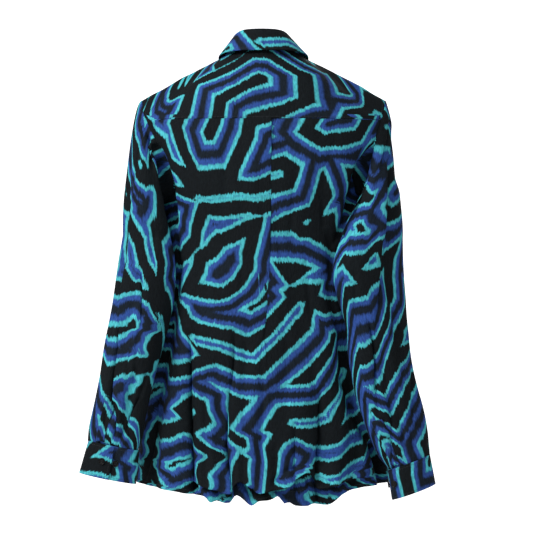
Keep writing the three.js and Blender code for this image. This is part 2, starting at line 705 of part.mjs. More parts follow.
// One button near the upper end of the lap, and one beside its edge on the layer below.
function addCuffButtons(name, cuff, side) {
  const mirrored = side > 0;
  const grid = moved(cuffGrid(cuff, side), CUFF_CLOTH / 2 + BUTTON_GAP, { mirrored });
  const [top, bottom] = [grid[0], grid.at(-1)];
  cuff.buttons.forEach((column, i) => {
    const corners = [top[column], top[column + 1], bottom[column], bottom[column + 1]];
    const centre = corners.reduce((sum, corner) => sum.add(corner), new THREE.Vector3());
    const down = bottom[column].clone().sub(top[column]);
    const across = top[column + 1].clone().sub(top[column]);
    const facing = down.cross(across).setLength(mirrored ? -1 : 1);
    addButton(`button_cuff_${name}_${i + 1}`, centre.divideScalar(corners.length), facing);
  });
}

addPiece("yoke", yoke());
addPiece("back", back());
addPiece("front_right", wall(frontGrid(1)));
addPiece("front_left", wall(frontGrid(-1)));
addPiece("placket", wall(placketGrid()));
addPiece("collar_stand", stand());
addPiece("collar_leaf", leaf());
for (const [name, side, table, folds, push, cuff] of [
  ["right", 1, RIGHT_SLEEVE, RIGHT_FOLDS, RIGHT_CAP_PUSH, RIGHT_CUFF],
  ["left", -1, LEFT_SLEEVE, LEFT_FOLDS, LEFT_CAP_PUSH, LEFT_CUFF],
]) {
  const armhole = armholeLoop(side);
  const angles = loopAngles(armhole);
  const grid = sleeveGrid(side, table, folds, push, angles, armhole.loop);
  const mirrored = side > 0;
  addPiece(`sleeve_${name}`, wall(grid, { mirrored, closed: true }));
  addPiece(`cuff_${name}`, wall(cuffGrid(cuff, side), { thickness: CUFF_CLOTH, mirrored }));
  addPiece(`sleeve_slit_${name}`, slitBand(grid, angles, cuff.edge, mirrored));
  addCuffButtons(name, cuff, side);
}
addFrontButtons();

export default shirt;
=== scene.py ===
import logging
import math
from collections.abc import Iterable, Sequence
from dataclasses import astuple, dataclass, field
from enum import Enum
from types import SimpleNamespace
from typing import ClassVar

import bpy
import numpy as np
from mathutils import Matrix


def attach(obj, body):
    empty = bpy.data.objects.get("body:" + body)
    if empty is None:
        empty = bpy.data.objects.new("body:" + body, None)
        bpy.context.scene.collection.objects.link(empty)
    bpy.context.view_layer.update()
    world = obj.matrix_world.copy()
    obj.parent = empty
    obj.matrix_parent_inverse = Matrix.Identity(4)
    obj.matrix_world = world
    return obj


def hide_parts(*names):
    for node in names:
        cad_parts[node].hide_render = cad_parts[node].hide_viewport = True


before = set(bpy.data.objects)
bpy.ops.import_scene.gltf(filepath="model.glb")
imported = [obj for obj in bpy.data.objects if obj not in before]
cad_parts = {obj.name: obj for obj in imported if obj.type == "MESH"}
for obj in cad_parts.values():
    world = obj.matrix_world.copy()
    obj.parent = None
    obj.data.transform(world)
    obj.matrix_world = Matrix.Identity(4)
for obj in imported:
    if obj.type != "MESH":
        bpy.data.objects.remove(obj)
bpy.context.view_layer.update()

# A printed long-sleeved shirt, hung as if worn. The pieces are worked out in millimetres, from the
# rings, sections and tables of the solids, on finer grids, and the meshes are made in metres.
# Turns run round the body from centre back at 0 to the wearer's right side at 0.25 and centre
# front at 0.5. Stations run down it, from the neck at 0 and the shoulder at 1 to the hem at 9.

MM = 0.001
FULL_TURN = 2 * math.pi
# How far the middle of a thread lies above what it is sewn to.
THREAD_LIFT = 0.1
Array = np.ndarray
Pair = tuple[float, float]
Triple = tuple[float, float, float]
log = logging.getLogger("shirt")


def lerp(a: Array | float, b: Array | float, share: Array | float) -> Array:
    """The value that lies a share of the way from a to b."""
    return a + (b - a) * share


def smooth(start: float, end: float, x: Array) -> Array:
    """Rises softly from 0 at start to 1 at end."""
    t = np.clip((x - start) / (end - start), 0, 1)
    return t * t * (3 - 2 * t)


def hill(x: Array) -> Array:
    """A soft bump, 1 high at 0."""
    return np.exp(-x * x)


def power(value: Array, exponent: Array | float) -> Array:
    """A power that keeps the sign of what it is given."""
    return np.sign(value) * np.abs(value) ** exponent


def triangle(x: Array) -> Array:
    """A zigzag of period 1 between -1 and 1."""
    return 4 * np.abs(x - np.floor(x + 0.5)) - 1


def unit(vectors: Array) -> Array:
    """The same directions at length 1."""
    return vectors / np.maximum(np.linalg.norm(vectors, axis=-1, keepdims=True), 1e-9)


def point(x: Array | float, y: Array | float, z: Array | float) -> Array:
    """Points from their three coordinates, each a number or an array."""
    return np.stack(np.broadcast_arrays(x, y, z), axis=-1).astype(float)


def degrees_apart(angle: Array, other: Array | float) -> Array:
    """How far one angle lies past another, from -180 to 180."""
    return (angle - other + 180) % 360 - 180


def lengths_along(points: Array, axis: int) -> Array:
    """How far along its row or column each point of a grid or a line lies."""
    steps = np.linalg.norm(np.diff(points, axis=axis), axis=-1).cumsum(axis=axis)
    first = np.zeros_like(steps.take([0], axis=axis))
    return np.concatenate([first, steps], axis=axis)


def placed_object(name: str, data: bpy.types.ID) -> bpy.types.Object:
    """Adds an object to the scene, at the origin."""
    made = bpy.data.objects.new(name, data)
    bpy.context.scene.collection.objects.link(made)
    return made


class Table:
    """Named columns of numbers, read along a smooth curve at any value of the first column."""

    def __init__(self, columns: str, *rows: Sequence[float]) -> None:
        """Sorts the rows by their first column.

        Args:
            columns: The columns' names, the key first.
            rows: One row of numbers for each place.
        """
        self.names = columns.split()
        self.rows = np.array(sorted(rows), float)

    def at(self, key: Array | float) -> SimpleNamespace:
        """Reads every column at one or many values of the key.

        Args:
            key: Where to read, held within the table's ends.

        Returns:
            The columns by name, each shaped as the key.
        """
        keys = self.rows[:, 0]
        key = np.clip(np.asarray(key, float), keys[0], keys[-1])
        last = len(keys) - 1
        i = np.clip(np.searchsorted(keys, key, side="right") - 1, 0, last - 1)
        before, after = np.maximum(i - 1, 0), np.minimum(i + 2, last)
        span = keys[i + 1] - keys[i]
        t = (key - keys[i]) / span
        found = {}
        for name, values in zip(self.names, self.rows.T):
            leaving = (values[i + 1] - values[before]) / (keys[i + 1] - keys[before]) * span
            arriving = (values[after] - values[i]) / (keys[after] - keys[i]) * span
            found[name] = hermite(values[i], leaving, values[i + 1], arriving, t)
        return SimpleNamespace(**found)


def hermite(start: Array, leaving: Array, end: Array, arriving: Array, t: Array) -> Array:
    """A curve from start to end with given slopes at both.

    Args:
        start: The value at t = 0.
        leaving: The slope there.
        end: The value at t = 1.
        arriving: The slope there.
        t: The place along it.

    Returns:
        The value at t.
    """
    t2, t3 = t * t, t * t * t
    return (
        (2 * t3 - 3 * t2 + 1) * start + (t3 - 2 * t2 + t) * leaving
        + (3 * t2 - 2 * t3) * end + (t3 - t2) * arriving
    )


@dataclass(frozen=True)
class Ring:
    """A ring round the body: its heights, half width and depths, and its squareness."""

    back: float
    side: float
    front: float
    ridge: float
    half_width: float
    depth_back: float
    depth_front: float
    squareness: float


NECK = Ring(20, 8, -45, 0.13, 66, 64, 66, 2.0)
SHOULDER = Ring(-102, -66, -100, 0.03, 206, 104, 88, 2.3)
FOLD_LINE = Ring(46, 33, -16, 0.085, 46, 60, 60, 2.0)
RINGS = Table(
    "station back side front ridge half_width depth_back depth_front squareness",
    (1, *astuple(SHOULDER)),
    (2, -160, -150, -158, 0.05, 202, 111, 104, 2.4),
    (3, -214, -212, -214, 0.1, 185, 114, 111, 2.4),
    (4, -243, -243, -243, 0.1, 176, 114, 113, 2.37),
    (5, -337, -337, -337, 0.1, 162, 112, 116, 2.3),
    (6, -440, -440, -440, 0.1, 171, 111, 116, 2.3),
    (7, -541, -541, -541, 0.1, 193, 113, 118, 2.3),
    (8, -640, -638, -640, 0.1, 210, 117, 121, 2.25),
    (9, -730, -712, -734, 0.09, 216, 120, 124, 2.2),
)
# The same rings by the height of their sides, for what has to stay clear of them.
SIDES = Table("side half_width depth_back depth_front squareness", *(
    (row[2], *row[5:]) for row in RINGS.rows[1:]
))
# The turn of the body's side, the station of the armpit, and the turns of the armhole's edges on
# the back and the fronts, down to the last station above it.
SIDE_TURN = 0.25
ARMPIT = 4
ARMHOLE = Table(
    "station back front",
    (1, 0.2, 0.3), (1.5, 0.178, 0.322), (2, 0.168, 0.335), (2.5, 0.17, 0.332), (3, 0.184, 0.318),
)
# The hanging folds of the body, deepest at the hem: the height of each one's top, its turns at the
# top and at the hem, its width as a turn, and its depth.
DRAPE_FOLDS = (
    (-420, -0.118, -0.086, 0.011, 13),
    (-450, -0.06, -0.043, 0.009, 11),
    (-500, 0.074, 0.068, 0.01, 10),
    (-400, 0.14, 0.118, 0.013, 14),
    (-330, -0.175, -0.165, 0.016, 12),
    (-330, 0.195, 0.19, 0.016, 12),
    (-380, 0.31, 0.315, 0.013, 12),
    (-430, 0.395, 0.405, 0.011, 10),
    (-400, -0.3, -0.305, 0.013, 12),
    (-450, -0.385, -0.4, 0.011, 10),
)
# How far below its top a fold is whole, and the level at which it has its turn at the hem.
DRAPE_FADE = 190
HEM_LEVEL = -730
HEM_STATION = 9
# The columns of the strip where the fronts lap.
STRIP_COLUMNS = 9
# The turn of the yoke's front edges, and how far its middle stands out and up.
YOKE_EDGE = 0.3
YOKE_BULGE = 6
YOKE_LIFT = 2.5
# An even oval near the body's middle size, for the direction straight out of it.
OVAL = SimpleNamespace(half_width=190.0, depth_back=112.0)


def side_turn(turn: Array) -> Array:
    """The turn folded back into 0 to 0.5, alike on both sides of the body."""
    turn = np.abs(turn)
    return np.where(turn > 0.5, 1 - turn, turn)


def ring_point(ring: Ring | SimpleNamespace, turn: Array | float) -> Array:
    """Points on a ring of the body.

    Args:
        ring: The ring, its columns numbers or arrays.
        turn: The turn of each point.

    Returns:
        The points.
    """
    turn = np.asarray(turn, float)
    s, c = np.sin(FULL_TURN * turn), np.cos(FULL_TURN * turn)
    depth = np.where(c > 0, ring.depth_back, ring.depth_front)
    end = np.where(c > 0, ring.back, ring.front)
    ridge = hill((side_turn(turn) - SIDE_TURN) / ring.ridge)
    exponent = 2 / ring.squareness
    return point(
        ring.half_width * power(s, exponent),
        -depth * power(c, exponent),
        lerp(end, ring.side, ridge),
    )


def turn_across(ring: Ring | SimpleNamespace, across: Array, at_front: bool = False) -> Array:
    """The turn near centre back or centre front at which a ring is that far across."""
    turn = np.arcsin(power(across / ring.half_width, ring.squareness / 2)) / FULL_TURN
    return 0.5 - turn if at_front else turn


def yoke_point(turn: Array | float, share: Array | float) -> Array:
    """Points of the yoke, share being 0 at the neck and 1 at the seams."""
    turn, share = np.broadcast_arrays(np.asarray(turn, float), np.asarray(share, float))
    found = lerp(ring_point(NECK, turn), ring_point(SHOULDER, turn), share[..., None])
    found[..., 1] -= YOKE_BULGE * np.sin(np.pi * share) * np.cos(FULL_TURN * turn)
    found[..., 2] += YOKE_LIFT * np.sin(np.pi * share)
    return found


def drape_depth(turn: Array, height: Array) -> Array:
    """How far the hanging folds draw the cloth in."""
    around = np.where(turn > 0.5, turn - 1, turn)
    depth = np.zeros(np.broadcast(turn, height).shape)
    for top, turn_top, turn_hem, width, deep in DRAPE_FOLDS:
        down = np.clip((top - height) / (top - HEM_LEVEL), 0, 1)
        fade = smooth(0, DRAPE_FADE, top - height)
        depth += deep * fade * hill((around - lerp(turn_top, turn_hem, down)) / width)
    return depth


def body_point(station: Array | float, turn: Array | float) -> Array:
    """Points of the body with its hanging folds, or of the yoke's form above station 1."""
    station, turn = np.broadcast_arrays(np.asarray(station, float), np.asarray(turn, float))
    ring = RINGS.at(np.maximum(station, 1))
    found = ring_point(ring, turn)
    outward = outward_of(found, ring)
    found -= outward * drape_depth(turn, found[..., 2])[..., None]
    above = station < 1
    if above.any():
        found[above] = yoke_point(turn[above], station[above])
    return found


def outward_of(points: Array, ring: SimpleNamespace | None = None) -> Array:
    """The level direction straight out of the body at some points."""
    ring = ring or OVAL
    x, y = points[..., 0] / ring.half_width**2, points[..., 1] / ring.depth_back**2
    return unit(point(x, y, 0.0))


def armhole_turn(station: Array, edge: str) -> Array:
    """The turn of the armhole's edge on the back or the fronts, that of the side below the armpit.

    Args:
        station: The stations to read it at.
        edge: The edge's column in the table.

    Returns:
        The turns.
    """
    upper = getattr(ARMHOLE.at(station), edge)
    below = station - (ARMPIT - 1)
    start = getattr(ARMHOLE.at(ARMPIT - 1), edge)
    curve = lerp(SIDE_TURN, start, np.sqrt(np.clip(1 - below**2, 0, 1)))
    return np.where(station >= ARMPIT, SIDE_TURN, np.where(below <= 0, upper, curve))


# How finely the stations are read to space rows evenly.
FINE_STATIONS = 400


def stations_every(step: float, first: float, last: float) -> Array:
    """Stations whose rings lie about a step apart down the back.

    Args:
        step: The distance between rows.
        first: The first station.
        last: The last station.

    Returns:
        The stations, both ends included.
    """
    fine = np.linspace(first, last, FINE_STATIONS)
    ring = RINGS.at(fine)
    heights = np.where(fine < 1, lerp(NECK.back, SHOULDER.back, fine), ring.back)
    count = max(2, round((heights[0] - heights[-1]) / step))
    return np.interp(np.linspace(heights[0], heights[-1], count + 1), heights[::-1], fine[::-1])


@dataclass(frozen=True)
class Crease:
    """A soft trough, or a ridge where its depth is below 0, along a bowed line on a panel.

    x and z are millimetres across and up, as seen from the back, or degrees round a sleeve and
    millimetres up. lean makes one flank steeper: the left one below 0, the right one above. lap
    is how far the left side overhangs the trough, or the right side where it is below 0.
    """

    SHARPNESS: ClassVar[float] = 1.4
    LIP: ClassVar[float] = 1.2
    START: ClassVar[float] = 0.05
    FULLNESS: ClassVar[float] = 0.7
    x: float
    z: float
    to_x: float
    to_z: float
    width: float
    depth: float
    bow: float = 0.0
    lean: float = 0.0
    lap: float = 0.0

    def shape_at(self, x: Array, z: Array, around: bool) -> tuple[Array, Array]:
        """How deep it is at some places, and how far the cloth beside it laps over it.

        Args:
            x: The places across, or round a sleeve.
            z: Their heights.
            around: Whether x goes round, in degrees.

        Returns:
            The depth at each place, and how far each shifts across.
        """
        dx, dz = self.to_x - self.x, self.to_z - self.z
        length = math.hypot(dx, dz)
        apart = degrees_apart(x, self.x) if around else x - self.x
        along = (apart * dx + (z - self.z) * dz) / length**2
        off = (apart * dz - (z - self.z) * dx) / length
        held = np.clip(along, 0, 1)
        off = off - self.bow * 4 * held * (1 - held)
        width = self.width * (1 + self.lean * np.tanh(off))
        beyond = (along - held) * length
        across = np.exp(-np.abs(off / width) ** self.SHARPNESS)
        fade = np.sin(np.pi * np.clip(lerp(self.START, 1 - self.START, along), 0, 1)) ** self.FULLNESS
        ends = fade * hill(beyond / self.width)
        lip = hill(off * np.sign(self.lap) / self.width - self.LIP)
        return self.depth * ends * across, self.lap * ends * lip


def creases_of(*rows: Sequence[float]) -> tuple[Crease, ...]:
    """Creases from rows of their numbers, those at a row's end left at 0."""
    return tuple(Crease(*row) for row in rows)


def shape_of(
    creases: Iterable[Crease], x: Array, z: Array, around: bool = False
) -> tuple[Array, Array]:
    """The depth and the shift across of all of a panel's creases together."""
    depth = shift = np.zeros(np.broadcast(x, z).shape)
    for crease in creases:
        deep, across = crease.shape_at(x, z, around)
        depth, shift = depth + deep, shift + across
    return depth, shift


# The creases of the back, as the picture shows them from the armpits down to the hem.
BACK_CREASES = creases_of(
    # The hollows behind the sleeves' inner edges.
    (-186, -108, -182, -176, 5, 9, 0, 0.3),
    (-181, -146, -158, -274, 9, 34, -3, 0, 6),
    (-156, -240, -142, -356, 6, 10, 0, -0.3),
    (-140, -340, -162, -456, 7, 12, 3),
    (-158, -440, -180, -560, 8, 15, 0),
    (-176, -540, -204, -716, 8, 14, 0),
    (186, -150, 150, -262, 12, 38, 3),
    (150, -232, 116, -312, 6, 13, -3, 0.3),
    (108, -290, 108, -384, 5, 11, -4, 0.3),
    (106, -374, 131, -456, 6, 13, 3),
    (128, -440, 136, -548, 8, 17, -3, 0.3),
    (134, -530, 176, -634, 9, 19, 0, 0.3),
    (172, -610, 206, -712, 9, 18, -3, 0.3),
    # Short creases that spread from the right armpit.
    (192, -158, 152, -182, 2.6, 3.4, 2),
    (186, -168, 142, -196, 2.6, 3.6, 3),
    (176, -184, 136, -210, 2.8, 3.4, 3),
    (160, -220, 124, -244, 3.2, 2.6, 2),
    (200, -140, 176, -158, 3, 3, -2),
    # Softer ones across the shoulder blades and from the left armpit.
    (-172, -184, -136, -262, 5, 3.4, -5),
    (-152, -238, -110, -286, 5, 2.6, -3),
    (-128, -128, -138, -240, 10, 3, -5),
    (122, -130, 100, -240, 10, 3, 6),
    (62, -136, 48, -330, 9, 2.4, 4),
    (-62, -130, -74, -300, 9, 2.4, -4),
    # Fine upright ones on the middle of the back.
    (97, -236, 98, -292, 2.6, 3.4, 0, -0.4),
    (71, -320, 79, -440, 2.8, 3, 1),
    (20, -262, 32, -350, 2.8, 2.6, 1),
    (-94, -336, -96, -404, 2.6, 2.8, 0),
    (-87, -256, -90, -306, 2.6, 2, 0),
    (-143, -366, -142, -398, 2.6, 2.6, 0),
    (-34, -330, -38, -430, 3, 2.2, 1),
    (48, -210, 44, -300, 3, 2, -2),
    (-118, -416, -108, -500, 4, 3, 2),
    # The long folds that fall from the waist to the hem.
    (-125, -460, -124, -620, 5, 13, 2, -0.3, 8),
    (-125, -590, -121, -745, 5.5, 16, 1, -0.3, 9),
    (-50, -452, -62, -580, 4, 9, -2, -0.3, 5),
    (-61, -560, -66, -680, 4.5, 14, 0, -0.3, 8),
    (-66, -650, -54, -745, 5, 14, -2, -0.3, 8),
    (-184, -560, -178, -634, 3.6, 7, 0, 0.3, -4),
    (-92, -520, -94, -690, 10, 5, 3),
    (-26, -440, -30, -640, 9, 5, 3),
    (-1, -520, -8, -735, 7, 6, -3, 0.4),
    (34, -430, 38, -600, 8, 4, -3),
    (55, -600, 55, -742, 4.5, 10, 1, 0.3, -5),
    (97, -550, 94, -660, 4.5, 12, -1, 0.3, -7),
    (94, -640, 90, -742, 5, 14, 1, 0.3, -8),
    (80, -470, 84, -620, 9, 4, -3),
    (22, -640, 24, -738, 5, 6, 2, 0.3),
    (-36, -640, -30, -735, 4, 6, -2, 0.3),
    (-150, -620, -158, -728, 7, 5, 3),
    (138, -640, 130, -735, 6, 6, 2, -0.3),
    (-98, -650, -92, -738, 5, 6, 2),
    # Short slanted ones in the bunched tail.
    (-116, -706, -96, -734, 3.4, 7, 2),
    (-90, -700, -78, -738, 3.4, 6, -2),
    (-74, -712, -84, -742, 3.2, 6, 1),
    (-40, -694, -20, -728, 3.6, 8, 3, 0, 4),
    (-14, -700, -24, -736, 3.4, 6, -1),
    (12, -706, 30, -688, 3.6, 7, 2),
    (30, -690, 70, -680, 3.8, 7, -4),
    (66, -690, 84, -722, 3.6, 8, 2, 0, 4),
    (76, -706, 70, -738, 3.4, 6, 0),
    (104, -700, 124, -716, 3.6, 7, 2),
    (110, -716, 108, -740, 3.4, 5, 0),
    (132, -700, 150, -712, 3.6, 5, 1),
)
# Like ones on the fronts, which the picture doesn't show, by the distance from the middle.
FRONT_CREASES = creases_of(
    (176, -170, 150, -262, 8, 9, 3),
    (160, -226, 120, -286, 4, 4, 2),
    (150, -250, 96, -330, 5, 4, 4),
    (110, -130, 92, -250, 9, 4, 4),
    (60, -140, 66, -300, 9, 3, -4),
    (138, -330, 124, -480, 6, 5, 3),
    (96, -360, 104, -520, 5, 5, -3, 0.3),
    (54, -330, 50, -500, 7, 4, 3),
    (128, -470, 136, -730, 6, 10, -3, 0.3),
    (92, -500, 84, -740, 5.5, 9, 3, -0.3),
    (52, -560, 58, -740, 6, 7, -2, 0.3),
    (160, -560, 172, -720, 7, 8, 2),
    (30, -600, 34, -740, 5, 5, 1),
    (112, -640, 108, -738, 4, 6, 0),
)


# How far behind the side seams the creases of the back are whole.
BACK_BLEND = 30


def sunk(points: Array) -> Array:
    """Points of the back, drawn in where its creases are."""
    on_back = smooth(0, BACK_BLEND, -points[..., 1])
    depth, shift = shape_of(BACK_CREASES, points[..., 0], points[..., 2])
    found = points - outward_of(points) * (depth * on_back)[..., None]
    found[..., 0] += shift * on_back
    return found


# How many ripples are added up, the range of their lengths, the usual one, and their slant.
RIPPLE_COUNT = 14
RIPPLE_LENGTHS = (24, 110)
RIPPLE_USUAL = 70
RIPPLE_SLANT = 0.35


def ripples(x: Array, z: Array, seed: int, height: float) -> Array:
    """The slight unevenness of soft cloth, mostly in upright ripples.

    Args:
        x: The places across.
        z: The places down.
        seed: Sets the ripples apart from other panels'.
        height: Their usual height.

    Returns:
        The height of the cloth at each place.
    """
    rng = np.random.default_rng(seed)
    total = np.zeros(np.broadcast(x, z).shape)
    for _ in range(RIPPLE_COUNT):
        length = rng.uniform(*RIPPLE_LENGTHS)
        slant = rng.normal(0, RIPPLE_SLANT)
        wave = (x * math.cos(slant) + z * math.sin(slant)) / length
        total += (length / RIPPLE_USUAL) * np.sin(FULL_TURN * (wave + rng.uniform()))
    return total * height / math.sqrt(RIPPLE_COUNT / 2)


def scattered(
    seed: int, count: int, across: Pair, down: Pair, depth: float
) -> tuple[Crease, ...]:
    """Upright creases at seeded places, for the sides that the picture doesn't show.

    Args:
        seed: Sets the places.
        count: How many there are.
        across: The range of places across, or round a sleeve.
        down: The range of heights, the upper first.
        depth: The deepest that one may be.

    Returns:
        The creases.
    """
    rng = np.random.default_rng(seed)
    room, lengths, widths, depths = 120, (70, 210), (4, 10), (0.4, 1)
    slant, bow, lean = 14, 6, 0.4
    found = []
    for _ in range(count):
        x, top = rng.uniform(*across), rng.uniform(down[1] + room, down[0])
        end = max(top - rng.uniform(*lengths), down[1])
        found.append(Crease(
            x, top, x + rng.normal(0, slant), end, rng.uniform(*widths),
            depth * rng.uniform(*depths), rng.normal(0, bow), rng.uniform(-lean, lean),
        ))
    return tuple(found)


class Held(Enum):
    """How a piece of cloth is held once it is sewn in."""

    HUNG = "hung"
    FOLDED = "folded"
    LAID = "laid"


@dataclass(frozen=True)
class BandPrint:
    """Bent lozenges that grow into nested bands, on the flat cut, drawn with an uneven hand.

    Attributes:
        period: The distance from one band's middle to the next one's.
        spacing: The distance between the lozenges of one row.
        row_share: The distance between rows, as a share of the spacing.
        rows: The first row, and the one after the last.
        columns: The first column, and the one after the last.
        unevenness: How far a lozenge strays, as a share of the spacing.
        angles: The range of its slant, either way, in radians.
        lengths: How long it may be, as shares of the spacing.
        flanks: The range of the slant of its ends, in radians.
        bend: How far it is bent at its middle, at most.
        waver: How far the bands' edges waver.
        waves: The lengths of the wavers down the cloth and across it, long and short.
        seed: Sets where the lozenges stray to.
    """

    period: float = 60.0
    spacing: float = 200.0
    row_share: float = 0.6
    rows: tuple[int, int] = (-3, 10)
    columns: tuple[int, int] = (-4, 7)
    unevenness: float = 0.3
    angles: Pair = (0.1, 0.9)
    lengths: tuple[float, ...] = (0.0, 0.1, 0.3, 0.5)
    flanks: Pair = (0.5, 1.05)
    bend: float = 0.6
    waver: float = 4.0
    waves: tuple[float, float, float, float] = (131, 410, 113, 370)
    seed: int = 4

    def phase(self, flat: Array) -> Array:
        """The distance from the nearest lozenge's middle, which sets the bands.

        Args:
            flat: Places on the flat cut.

        Returns:
            The distance at each, one whole period from band to band.
        """
        rng = np.random.default_rng(self.seed)
        across, down = flat[..., 0], flat[..., 1]
        short_down, long_across, short_across, long_down = self.waves
        across, down = (
            across + self.waver * triangle(down / short_down + 0.3 * triangle(across / long_across)),
            down + self.waver * triangle(across / short_across + 0.4 * triangle(down / long_down)),
        )
        found = np.full(across.shape, np.inf)
        for row in range(*self.rows):
            for column in range(*self.columns):
                stray_x, stray_y = rng.uniform(-self.unevenness, self.unevenness, 2)
                x = (column + 0.5 * (row % 2) + stray_x) * self.spacing
                y = (row * self.row_share + 0.8 * stray_y) * self.spacing
                angle = rng.choice([-1, 1]) * rng.uniform(*self.angles)
                length = rng.choice(self.lengths) * self.spacing
                flank, bend = rng.uniform(*self.flanks), rng.uniform(-self.bend, self.bend)
                start = rng.uniform() * self.period
                along = np.abs((across - x) * math.cos(angle) + (down - y) * math.sin(angle))
                off = (down - y) * math.cos(angle) - (across - x) * math.sin(angle)
                off = np.abs(off - bend * along) / math.hypot(1, bend)
                ends = (along - length) * math.cos(flank) + off * math.sin(flank)
                found = np.minimum(found, np.maximum(off, ends) + start)
        return found

    def on(self, flat: Array) -> Array:
        """The phase and its slope down the cloth, as the two numbers of a map."""
        slope = (self.phase(flat + [0, 1]) - self.phase(flat - [0, 1])) / 2
        return np.stack([self.phase(flat) * MM, slope], axis=-1)


PRINT = BandPrint()


@dataclass
class Panel:
    """A cut piece of cloth: rows and columns of points, and the flat place of each.

    Attributes:
        name: The name of its object.
        points: Rows that run down of columns that run across, in millimetres.
        flat: Each point's place on the flat cut, across and down.
        mirrored: Whether its columns run clockwise seen from above.
        thickness: How thick it is, or its plies together.
    """

    name: str
    points: Array
    flat: Array
    mirrored: bool = False
    thickness: float = 0.5

    def normals(self) -> Array:
        """The direction out of the garment at each point."""
        down, across = np.gradient(self.points, axis=0), np.gradient(self.points, axis=1)
        return unit(np.cross(down, across)) * (-1 if self.mirrored else 1)

    def moved(self, lift: Array | float) -> Array:
        """Its points, moved out of the garment by a lift."""
        return self.points + self.normals() * np.asarray(lift, float)[..., None]

    def area(self) -> float:
        """The area of the cloth, in square millimetres."""
        first = self.points[1:, 1:] - self.points[:-1, :-1]
        second = self.points[:-1, 1:] - self.points[1:, :-1]
        return float(np.linalg.norm(np.cross(first, second), axis=-1).sum() / 2)

    def outside(self) -> Array:
        """Its points, just outside the cloth, where thread lies."""
        return self.moved(self.thickness / 2 + THREAD_LIFT)

    def row(self, index: int) -> Array:
        """A line of thread along one row."""
        return self.outside()[index]

    def column(self, index: int) -> Array:
        """A line of thread down one column."""
        return self.outside()[:, index]

    def build(self, material: bpy.types.Material) -> bpy.types.Object:
        """Makes the mesh, with a map of the flat cut and a map of the print's bands.

        Args:
            material: The cloth.

        Returns:
            The new object, a thin shell.
        """
        rows, columns = self.points.shape[:2]
        corner = np.arange(rows * columns).reshape(rows, columns)
        a, b = corner[:-1, :-1].ravel(), corner[1:, :-1].ravel()
        c, d = corner[1:, 1:].ravel(), corner[:-1, 1:].ravel()
        faces = np.stack([a, d, c, b] if self.mirrored else [a, b, c, d], axis=1)
        mesh = bpy.data.meshes.new(self.name)
        mesh.from_pydata((self.points.reshape(-1, 3) * MM).tolist(), [], faces.tolist())
        maps = {"cut": self.flat * MM, "bands": PRINT.on(self.flat)}
        for name, values in maps.items():
            layer = mesh.uv_layers.new(name=name)
            layer.data.foreach_set("uv", values.reshape(-1, 2)[faces.ravel()].ravel())
        mesh.shade_smooth()
        mesh.materials.append(material)
        made = placed_object(self.name, mesh)
        shell = made.modifiers.new("plies", "SOLIDIFY")
        shell.thickness = self.thickness * MM
        shell.offset = 0
        return made


def flat_cut(points: Array, middle: int, across: float = 0.0, down: float = 0.0) -> Array:
    """Lays a grid of points flat by the lengths of its rows and columns.

    Args:
        points: The grid.
        middle: The column that is straight on the flat cut.
        across: Where that column lies across the printed cloth.
        down: Where the first row lies down it.

    Returns:
        Each point's place, across and down.
    """
    u, v = lengths_along(points, 1), lengths_along(points, 0)
    return np.stack([u - u[:, [middle]] + across, v + down], axis=-1)


def dress(made: bpy.types.Object, nodes: Sequence[str]) -> bpy.types.Object:
    """Ties a finished piece to the frame.

    Args:
        made: The piece.
        nodes: The solids that it stands for.

    Returns:
        The same piece.
    """
    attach(made, "root")
    if nodes:
        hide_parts(*nodes)
    log.info("%s: %d vertices", made.name, len(made.data.vertices))
    return made


def hang(
    panel: Panel, node: str, cloth: bpy.types.Material
) -> None:
    """Builds a panel in place of its solid.

    Args:
        panel: The cloth.
        node: The solid that it stands for.
        cloth: Its material.
    """
    made = dress(panel.build(cloth), [node])
    panel.area() * MM * MM


